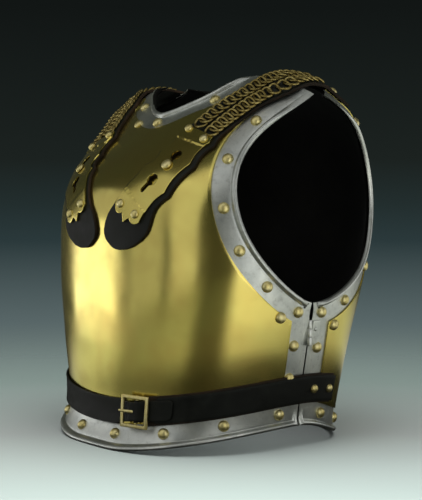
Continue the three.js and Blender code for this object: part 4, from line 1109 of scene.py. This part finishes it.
def beltSpots(station):
    # stations go round from the middle of the breast, positive on the wearer's left
    onBreast = np.abs(station) <= math.pi / 2
    turn = np.where(onBreast, station, np.sign(station) * (math.pi - np.abs(station)))
    return onBreast, spotsOf(turn, belt["height"] + belt["rise"] * np.sin(turn) ** 2)


def aroundTorso(station, drop, lift):
    station, drop, lift = np.broadcast_arrays(*(np.asarray(v, float) for v in (station, drop, lift)))
    onBreast, spots = beltSpots(station)
    spots = spots + np.stack([0 * drop, drop], -1)
    points = np.empty(spots.shape[:-1] + (3,))
    for plate, mask in ((breast, onBreast), (back, ~onBreast)):
        if mask.any():
            points[mask] = raised(plate, spots[mask], lift[mask])
    return points


stations = np.linspace(-math.pi, math.pi, 4001) * 0.95
beltPoints = aroundTorso(stations, 0, 0)
beltLengths = runLengths(beltPoints)
beltZero = np.interp(buckle["turn"], stations, beltLengths)


def stationAt(length):
    return np.interp(beltZero + np.asarray(length, float), beltLengths, stations)


def beltLengthAt(side, depth):
    x, y = beltPoints[:, 0], beltPoints[:, 1]
    found = (x * side > 0) & ((y >= depth) if side > 0 else (y <= depth))
    return beltLengths[np.argmax(found)] - beltZero


def onBelt(length, drop, lift):
    return aroundTorso(stationAt(length), drop, lift)


def beltSheet(name, lengths, halves, lows, highs, columns=9, softness=0.6):
    shares = np.linspace(-1, 1, columns)
    rows = np.broadcast_arrays(lengths, halves, lows, highs)
    lengths, halves, lows, highs = (np.asarray(row, float) for row in rows)
    grid = np.repeat(lengths[:, None], columns, 1)
    drop = halves[:, None] * shares[None]
    top = onBelt(grid, drop, highs[:, None])
    ups = onBelt(grid, drop, highs[:, None] + 1) - top
    piece = gridPiece(name, top, ups)
    modify(piece, "SOLIDIFY", thickness=float((highs - lows)[0]) * mm, offset=-1)
    easeRims(piece, softness)
    return smooth(piece, 40)


leftEnd = beltLengthAt(1, belt["endDepth"])
seamLength = beltLengthAt(1, 0)


def pastSeam(lengths):
    # grows from 0 to 1 where the belt crosses the side seam and lies down on the back
    return easeIn((lengths - seamLength + belt["seamEase"]) / (2 * belt["seamEase"]))


leftLengths = np.concatenate([[buckle["roll"] / 2], np.linspace(*belt["nearStops"]), belt["shoulderStops"],
                              np.arange(belt["farFrom"], leftEnd, belt["step"]), [leftEnd]])
shoulderShare = easeIn((leftLengths - belt["shoulder"]) / belt["shoulderEase"])
leftThinner = belt["thinner"] * pastSeam(leftLengths)
leftBelt = beltSheet("beltLeft", leftLengths, between(belt["endHalf"], belt["half"], shoulderShare),
                     belt["low"] - leftThinner, belt["high"] - leftThinner)
backingRows = np.arange(backingSizes["start"], leftEnd - backingSizes["lastRow"], belt["step"])
backingLengths = np.concatenate([backingRows, [leftEnd - backingSizes["short"]]])
backingThinner = backingSizes["thinner"] * pastSeam(backingLengths)
backing = beltSheet("beltBackingLeft", backingLengths, belt["half"] + backingSizes["rise"],
                    backingSizes["low"] - backingThinner, backingSizes["high"] - backingThinner, softness=0.4)
bendEnds = [tuple(onBelt(seamLength + shift, 0, belt["bendLift"]) * mm)
            for shift in (-belt["seamEase"], belt["bendPast"])]
for piece in (leftBelt, backing):
    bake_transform(piece)
dress(leftBelt, None, "leather", leathers, "belt_left", "belt_left_end")
dress(backing, None, "leather", [brownEdge])


def tailLift(length):
    # the tail climbs over the buckle's roll and lies on the belt beyond it
    half, bar, roll = buckle["length"] / 2, buckle["bar"], buckle["roll"] + tail["rollRoom"]
    places = np.array([-2 * half, -half - 1.2 * bar, 0.8 * bar - half, -roll, roll, half - 1.5 * bar,
                       tail["end"]])
    lifts = np.array([tail["low"], tail["foot"], buckle["underBar"], buckle["crest"], buckle["crest"],
                      buckle["overBelt"], tail["tip"]])
    index = np.clip(np.searchsorted(places, length) - 1, 0, len(places) - 2)
    share = easeIn((length - places[index]) / (places[index + 1] - places[index]))
    return between(lifts[index], lifts[index + 1], share)


rightStart = beltLengthAt(-1, belt["rightPivot"] - belt["cutHalf"])
rightLengths = np.concatenate([np.arange(rightStart, tail["flatFrom"], belt["step"]),
                               np.linspace(*tail["fine"]), tail["tipStops"]])
rightLift = tailLift(rightLengths)
narrowShare = easeIn((rightLengths - tail["narrowFrom"]) / belt["shoulderEase"])
rightHalf = between(belt["half"], tail["half"], narrowShare)
tipShare = np.clip((rightLengths - tail["end"] + tail["tipLength"]) / tail["tipLength"], 0, 1)
rightHalf = rightHalf * np.sqrt(np.maximum(1 - (tipShare * tail["tipShare"]) ** 2, 0.05))
rightBelt = beltSheet("beltRight", rightLengths, rightHalf, rightLift, rightLift + tail["thick"],
                      softness=0.5)
dress(rightBelt, "belt_right", "leather", leathers, "belt_right")

endStart = beltLengthAt(-1, belt["rightPivot"] + belt["cutHalf"])
rightEndLengths = np.linspace(endStart, beltLengthAt(-1, belt["rightEnd"]), 14)
rightEnd = beltSheet("beltRightEnd", rightEndLengths, belt["half"], belt["endLow"], belt["endHigh"])
dress(rightEnd, "back", "leather", leathers, "belt_right_end")

for side, word in ((1, "left"), (-1, "right")):
    matrices = []
    for depth in belt["rivetDepths"]:
        _, spot = beltSpots(stationAt(beltLengthAt(side, depth)))
        matrices.append(surfaceMatrix(back, spot, belt["endHigh"]))
    rivets = stamp(f"beltRivets{word.title()}", rivetHead, matrices)
    dress(rivets, "back", "stud_brass", [studBrass], f"belt_rivet_{word}_1", f"belt_rivet_{word}_2")


# buckle, made flat and then laid at its place on the belt

_, buckleSpot = beltSpots(np.asarray(buckle["turn"], float))
buckleMatrix = surfaceMatrix(breast, buckleSpot, 0)


def buckleFrame():
    length, height, bar = buckle["length"], buckle["height"], buckle["bar"]
    deselectAll()
    bpy.ops.mesh.primitive_plane_add(size=1, location=(0, 0, (buckle["low"] + bar) * mm))
    piece = bpy.context.active_object
    piece.name = piece.data.name = "buckleFrame"
    piece.scale = (length * mm, height * mm, 1)
    applyPlace(piece)
    editAll(piece, lambda: bpy.ops.mesh.inset(thickness=bar * mm, depth=0),
            lambda: bpy.ops.mesh.delete(type="FACE"))
    modify(piece, "SOLIDIFY", thickness=bar * buckle["thickShare"] * mm, offset=-1)
    easeRims(piece, 0.7, 3)
    # centre bar between two small lugs
    bpy.ops.mesh.primitive_cylinder_add(vertices=24, radius=buckle["centreBar"] * mm,
                                        depth=(height - bar) * mm, rotation=(math.pi / 2, 0, 0),
                                        location=(0, 0, buckle["centreLift"] * mm))
    centreBar = bpy.context.active_object
    lugs = []
    for side in (-1, 1):
        lugPlace = (0, side * (height - bar) / 2 * mm, (buckle["centreLift"] + buckle["lugRise"]) * mm)
        bpy.ops.mesh.primitive_cube_add(size=1, location=lugPlace)
        lug = bpy.context.active_object
        lug.scale = (buckle["lugLength"] * mm, bar * mm, buckle["lugHeight"] * mm)
        applyPlace(lug)
        modify(lug, "BEVEL", width=0.6 * mm, segments=2)
        lugs.append(lug)
    applyPlace(centreBar)
    piece = joined("buckleFrame", [piece, centreBar, *lugs])
    piece.data.transform(buckleMatrix)
    return smooth(piece, 40)


dress(buckleFrame(), "breast", "stud_brass", [studBrass], "buckle_frame")


def sweptPiece(name, path, widths, heights, sides=12):
    # a rounded bar along a path in the buckle's own place
    path = np.asarray(path, float)
    ahead = unit(np.gradient(path, axis=0))
    side = np.array([0, 1.0, 0])
    up = unit(np.cross(ahead, side))
    angles = np.linspace(0, 2 * math.pi, sides + 1)
    cos, sin = np.cos(angles), np.sin(angles)
    squareCos, squareSin = np.sign(cos) * np.abs(cos) ** 0.7, np.sign(sin) * np.abs(sin) ** 0.7
    rings = (path[:, None] + side * (np.asarray(widths)[:, None, None] * squareCos[None, :, None])
             + up[:, None] * (np.asarray(heights)[:, None, None] * squareSin[None, :, None]))
    ends = [np.broadcast_to(path[k], rings[:1].shape) for k in (0, -1)]
    return closedPiece(name, np.concatenate([ends[0], rings, ends[1]]))


# drops below its highest run are by place along the buckle, from the bar's side to the eye
prong = {
    "rise": 1.2, "past": 1.4, "tipDrop": 0.4, "drops": [(-11, 0), (-4, 0.5), (0, 1.6), (2, 3)],
    "rootHalf": 2.0, "rootThick": 1.1, "tipHalf": 1.2, "tipThick": 0.8, "eyeRadius": 2.4,
}


def prongPiece():
    half = buckle["length"] / 2
    over = buckle["low"] + buckle["bar"] + prong["rise"]
    drops = [(-half - prong["past"], prong["tipDrop"]), (-half + 1, 0), *prong["drops"]]
    x = np.linspace(drops[-1][0], drops[0][0], 26)
    path = np.stack([x, 0 * x, over - np.interp(x, *zip(*drops))], 1)
    share = np.linspace(0, 1, len(x))
    shank = sweptPiece("buckleProng", path, between(prong["rootHalf"], prong["tipHalf"], share),
                       between(prong["rootThick"], prong["tipThick"], share))
    angles = np.linspace(0.5, 2 * math.pi + 0.2, 20)
    eyeRadius = prong["eyeRadius"]
    eyeRise = buckle["centreLift"] + eyeRadius * np.sin(angles)
    eyePath = np.stack([eyeRadius * np.cos(angles), 0 * angles, eyeRise], 1)
    eye = sweptPiece("prongEye", eyePath, np.full(20, prong["rootHalf"]), np.full(20, prong["tipThick"]))
    piece = joined("buckleProng", [shank, eye])
    piece.data.transform(buckleMatrix)
    return smooth(piece, 50)


dress(prongPiece(), "buckle_prong", "stud_brass", [studBrass], "buckle_prong")


def beltRoll():
    # the belt's end turned round the centre bar, open for the prong
    parts = []
    for side in (-1, 1):
        middle = side * (belt["prongRoom"] + belt["endHalf"]) / 2
        bpy.ops.mesh.primitive_cylinder_add(vertices=28, radius=buckle["roll"] * mm,
                                            depth=(belt["endHalf"] - belt["prongRoom"]) * mm,
                                            location=(0, middle * mm, buckle["centreLift"] * mm),
                                            rotation=(math.pi / 2, 0, 0))
        part = bpy.context.active_object
        applyPlace(part)
        easeRims(part, 0.5)
        parts.append(part)
    piece = joined("beltRoll", parts)
    piece.data.transform(buckleMatrix)
    return smooth(piece, 40)


dress(beltRoll(), "breast", "leather", [blackLeather])
print("belt and buckle made")


# hinge under the wearer's left armhole

hinge = {
    "across": 175.5, "bottom": 114, "top": 142, "knuckle": 3, "leafBottom": 114.6, "leafTop": 141.4,
    "reach": 14, "thick": 1.2, "gap": 0.3,
    "backNear": 3.3, "backLift": 0.3, "frontNear": 2.6, "frontLift": -3.7,
    "rivetDepth": 8.0, "rivetHeight": 132.0, "headRadius": 2.2, "headRise": 1.4, "headSink": 0.3,
}


def knuckle(name, bottom, top):
    deselectAll()
    bpy.ops.mesh.primitive_cylinder_add(vertices=32, radius=hinge["knuckle"] * mm, depth=(top - bottom) * mm,
                                        location=(hinge["across"] * mm, 0, (top + bottom) / 2 * mm))
    piece = bpy.context.active_object
    piece.name = piece.data.name = name
    applyPlace(piece)
    easeRims(piece, 0.35)
    return piece


def hingeLeaf(name, plate, near, far, lift):
    depths = np.linspace(near, far, 8)[None, :]
    heights = np.linspace(hinge["leafBottom"], hinge["leafTop"], 12)[:, None]
    heights, depths = np.broadcast_arrays(heights, depths)
    spots = spotsOf(turnAtDepth(plate, depths, heights), heights)
    piece = gridPiece(name, raised(plate, spots, lift + hinge["thick"]), outward(plate, spots))
    modify(piece, "SOLIDIFY", thickness=hinge["thick"] * mm, offset=-1)
    easeRims(piece, 0.3)
    return piece


third = (hinge["top"] - hinge["bottom"]) / 3
middleLow, middleHigh = hinge["bottom"] + third, hinge["top"] - third
backLeaf = joined("hingeLeafBack", [
    hingeLeaf("leafBack", back, hinge["backNear"], hinge["reach"], hinge["backLift"]),
    knuckle("knuckleBack", middleLow + hinge["gap"], middleHigh - hinge["gap"]),
])
dress(smooth(backLeaf, 40), "back", "steel", [armourSteel], "hinge_leaf_back")
frontLeaf = joined("hingeLeafFront", [
    hingeLeaf("leafFront", breast, -hinge["frontNear"], -hinge["reach"], hinge["frontLift"]),
    knuckle("knuckleLow", hinge["bottom"], middleLow),
    knuckle("knuckleHigh", middleHigh, hinge["top"]),
])
dress(smooth(frontLeaf, 40), "breast", "steel", [armourSteel], "hinge_leaf_front")
rivetTurn = turnAtDepth(back, np.asarray(hinge["rivetDepth"]), np.asarray(hinge["rivetHeight"]))
smallHead = domeHead("smallHead", hinge["headRadius"], hinge["headRise"], hinge["headSink"])
rivetPlace = surfaceMatrix(back, spotsOf(rivetTurn, hinge["rivetHeight"]), hinge["backLift"] + hinge["thick"])
hingeRivet = stamp("hingeRivet", smallHead, [rivetPlace])
dress(hingeRivet, "back", "steel", [armourSteel], "hinge_rivet")
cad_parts["hinge_pin"].data.materials.clear()
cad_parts["hinge_pin"].data.materials.append(armourSteel)
for spare in (studHead, rivetHead, hook, link, smallHead):
    dropPiece(spare)
print("hinge made")


# camera, stage and lights

photoFrame = {"width": 422, "height": 500, "focal": 1165.7, "middle": (208.27, 248.07)}
cameraPlace = {"azimuth": 51.27, "elevation": 2.14, "distance": 1.3974, "target": (0, 0, 0.215), "sensor": 36}

cameraData = bpy.data.cameras.new("photoCamera")
camera = bpy.data.objects.new("photoCamera", cameraData)
bpy.context.collection.objects.link(camera)
bpy.context.scene.camera = camera
azimuth, elevation = (math.radians(cameraPlace[key]) for key in ("azimuth", "elevation"))
backwards = Vector((math.sin(azimuth) * math.cos(elevation), -math.cos(azimuth) * math.cos(elevation),
                    math.sin(elevation)))
camera.location = Vector(cameraPlace["target"]) + backwards * cameraPlace["distance"]
camera.rotation_mode = "QUATERNION"
camera.rotation_quaternion = (-backwards).to_track_quat("-Z", "Y")
cameraData.sensor_width = cameraPlace["sensor"]
cameraData.lens = photoFrame["focal"] * cameraPlace["sensor"] / photoFrame["height"]
cameraData.shift_x = (photoFrame["width"] / 2 - photoFrame["middle"][0]) / photoFrame["height"]
cameraData.shift_y = (photoFrame["middle"][1] - photoFrame["height"] / 2) / photoFrame["height"]
cameraData.dof.use_dof = False

toCamera = Vector((math.sin(azimuth), -math.cos(azimuth), 0))
toRight = Vector((math.cos(azimuth), math.sin(azimuth), 0))
lampTarget = Vector((0, 0, 0.22))


def awayAt(bearing, elevation, distance):
    # a place round the object: bearing from the camera's direction, to the right as the camera sees it
    bearing, elevation = math.radians(bearing), math.radians(elevation)
    level = toCamera * math.cos(bearing) + toRight * math.sin(bearing)
    away = level * math.cos(elevation) + Vector((0, 0, math.sin(elevation)))
    return lampTarget + away * distance


# the studio's tones by the height of the view ray, from the floor by the camera up to the dark top
studioTones = {
    "low": -0.245, "high": 0.17,
    "stops": [(-0.238, "#becdc8"), (-0.19, "#949a98"), (-0.149, "#778681"), (-0.099, "#586667"),
              (-0.031, "#2b393b"), (0.0, "#232e2e"), (0.038, "#1c2220"), (0.165, "#121615")],
}
# the same tones by the floor's distance from the camera in metres, as painted under the lamps: painted light
# falloff, pale by the camera and darker away from it, standing in for light from the front
floorPlaneAndPaintedFalloff = {
    "size": 12, "below": 0.0002, "far": 4.0, "fadeFrom": 1.7, "fadeTo": 2.6,
    "stops": [(1.0, "#c9d8d3"), (1.08, "#becdc8"), (1.37, "#989e9c"), (1.77, "#7f8e89"), (2.7, "#667475"),
              (4.0, "#3c4c4e")],
}
# pale papers on the floor that only the metal shows: tones by bearing in degrees, and where they begin
paperTones = {
    "near": 0.36, "far": 0.5,
    "bearings": [(-140, "#24251f"), (-118, "#d5d9d0"), (-96, "#d5d9d0"), (-84, "#7d8075"), (-30, "#a0a396"),
                 (-20, "#55574c"), (2, "#5f6155"), (12, "#f0f2ea"), (52, "#e6e8e0"), (66, "#d0d3ca"),
                 (120, "#c4c7be")],
}


def makeFloor():
    # studio floor whose colour darkens with its distance from the camera, painted light falloff for light
    # from the front, and that fades into the backdrop
    deselectAll()
    bpy.ops.mesh.primitive_plane_add(size=floorPlaneAndPaintedFalloff["size"], location=(0, 0, -floorPlaneAndPaintedFalloff["below"]))
    floor = bpy.context.active_object
    floor.name = "studioFloor"
    material, tree, shader, place = newMaterial("paintedStudioFloor", Metallic=0.0, Roughness=0.9)
    shader.inputs["Specular IOR Level"].default_value = 0.05
    ground = camera.location
    moved = addNode(tree, "Mapping", {"Location": (-ground.x, -ground.y, 0)}, {"Vector": place})
    distance = addNode(tree, "VectorMath", {"operation": "LENGTH"}, {0: (moved, "Vector")})
    far = floorPlaneAndPaintedFalloff["far"]
    share = addNode(tree, "Math", {"operation": "DIVIDE", 1: far}, {0: (distance, "Value")})
    stops = [(metres / far, colour) for metres, colour in floorPlaneAndPaintedFalloff["stops"]]
    # painted light falloff: the floor's colour is pale by the camera and darker away from it
    tone = addNode(tree, "ValToRGB", {"stops": stops}, {"Fac": (share, "Value")})
    rays = addNode(tree, "LightPath")
    # polished metal sees pale papers laid on the floor, by their bearing from the camera and out from the hem
    turned = addNode(tree, "Mapping", {"Rotation": (0, 0, math.pi / 2 - azimuth)}, {"Vector": place})
    bearing = addNode(tree, "TexGradient", {"gradient_type": "RADIAL"}, {"Vector": (turned, "Vector")})
    papers = addNode(tree, "ValToRGB",
                     {"stops": [(degrees / 360 + 0.5, colour) for degrees, colour in paperTones["bearings"]]},
                     {"Fac": (bearing, "Fac")})
    away = addNode(tree, "VectorMath", {"operation": "LENGTH"}, {0: place})
    reach = addNode(tree, "MapRange", {"From Min": paperTones["near"], "From Max": paperTones["far"],
                                                 "To Min": 0, "To Max": 1}, {"Value": (away, "Value")})
    mirrored = addNode(tree, "Mix", {"data_type": "RGBA", 6: linearColour("#24251f")},
                       {0: (reach, "Result"), 7: (papers, "Color")})
    addNode(tree, "Mix", {"data_type": "RGBA"},
            {0: (rays, "Is Glossy Ray"), 6: (tone, "Color"), 7: (mirrored, 2)}, {2: (shader, "Base Color")})
    fade = addNode(tree, "MapRange", {"From Min": floorPlaneAndPaintedFalloff["fadeFrom"], "From Max": floorPlaneAndPaintedFalloff["fadeTo"],
                                      "To Min": 0, "To Max": 1}, {"Value": (distance, "Value")})
    through = addNode(tree, "BsdfTransparent")
    addNode(tree, "MixShader", {}, {0: (fade, "Result"), 1: (shader, "BSDF"), 2: (through, "BSDF")},
            {"Shader": (tree.nodes["Material Output"], "Surface")})
    floor.data.materials.append(material)


makeFloor()

scene = bpy.context.scene
scene.view_settings.view_transform = "Standard"
world = bpy.data.worlds.new("studio")
scene.world = world
world.use_nodes = True


def makeWorld():
    # the camera sees the backdrop's tones; everything else sees a dim room
    tree = world.node_tree
    background = tree.nodes["Background"]
    place = addNode(tree, "TexCoord")
    split = addNode(tree, "SeparateXYZ", {}, {"Vector": (place, "Generated")})
    low, high = studioTones["low"], studioTones["high"]
    share = addNode(tree, "MapRange", {"From Min": low, "From Max": high, "To Min": 0, "To Max": 1},
                    {"Value": (split, "Z")})
    seen = addNode(tree, "ValToRGB",
                   {"stops": [((z - low) / (high - low), colour) for z, colour in studioTones["stops"]]},
                   {"Fac": (share, "Result")})
    rays = addNode(tree, "LightPath")
    addNode(tree, "Mix", {"data_type": "RGBA", 6: linearColour("#3d4038")},
            {0: (rays, "Is Camera Ray"), 7: (seen, "Color")}, {2: (background, "Color")})
    background.inputs["Strength"].default_value = 1.0


makeWorld()


def softbox(name, place, size, glow, seenInMetal=True):
    # glow is how bright the lamp's face looks in a mirror, as a share of white
    data = bpy.data.lights.new(name, "AREA")
    data.shape = "RECTANGLE"
    data.size, data.size_y = size
    data.energy = glow * math.pi * size[0] * size[1]
    lamp = bpy.data.objects.new(name, data)
    bpy.context.collection.objects.link(lamp)
    lamp.location = place
    lamp.rotation_mode = "QUATERNION"
    lamp.rotation_quaternion = (lampTarget - place).to_track_quat("-Z", "Y")
    lamp.visible_glossy = seenInMetal


# bearing, elevation and distance from the object's middle, then width and height, then glow
lamps = {
    "leftSoftbox": (-108, -3, 1.2, (0.52, 0.3), 2.1),
    "leftUpperPanel": (-103, 16, 1.3, (0.5, 0.5), 0.55),
    "leftFrontPanel": (-76, 20, 1.3, (0.66, 1.5), 0.5),
    "frontLeftPanel": (-44, 24, 1.3, (0.62, 1.8), 0.75),
    "rightSoftbox": (27, 9, 1.3, (0.84, 0.95), 1.2),
    "rightSidePanel": (92, 4, 1.3, (1.0, 0.9), 0.85),
    "topPanel": (10, 62, 1.4, (1.3, 1.1), 0.5),
}
for name, (bearing, elevation, distance, size, glow) in lamps.items():
    softbox(name, awayAt(bearing, elevation, distance), size, glow)
overhead = {"height": 2.1, "forward": 0.2, "size": (2.4, 2.4), "glow": 3.4}
softbox("overheadLamp", Vector((0, 0, overhead["height"])) + toCamera * overhead["forward"], overhead["size"],
        overhead["glow"], seenInMetal=False)
print("studio made")
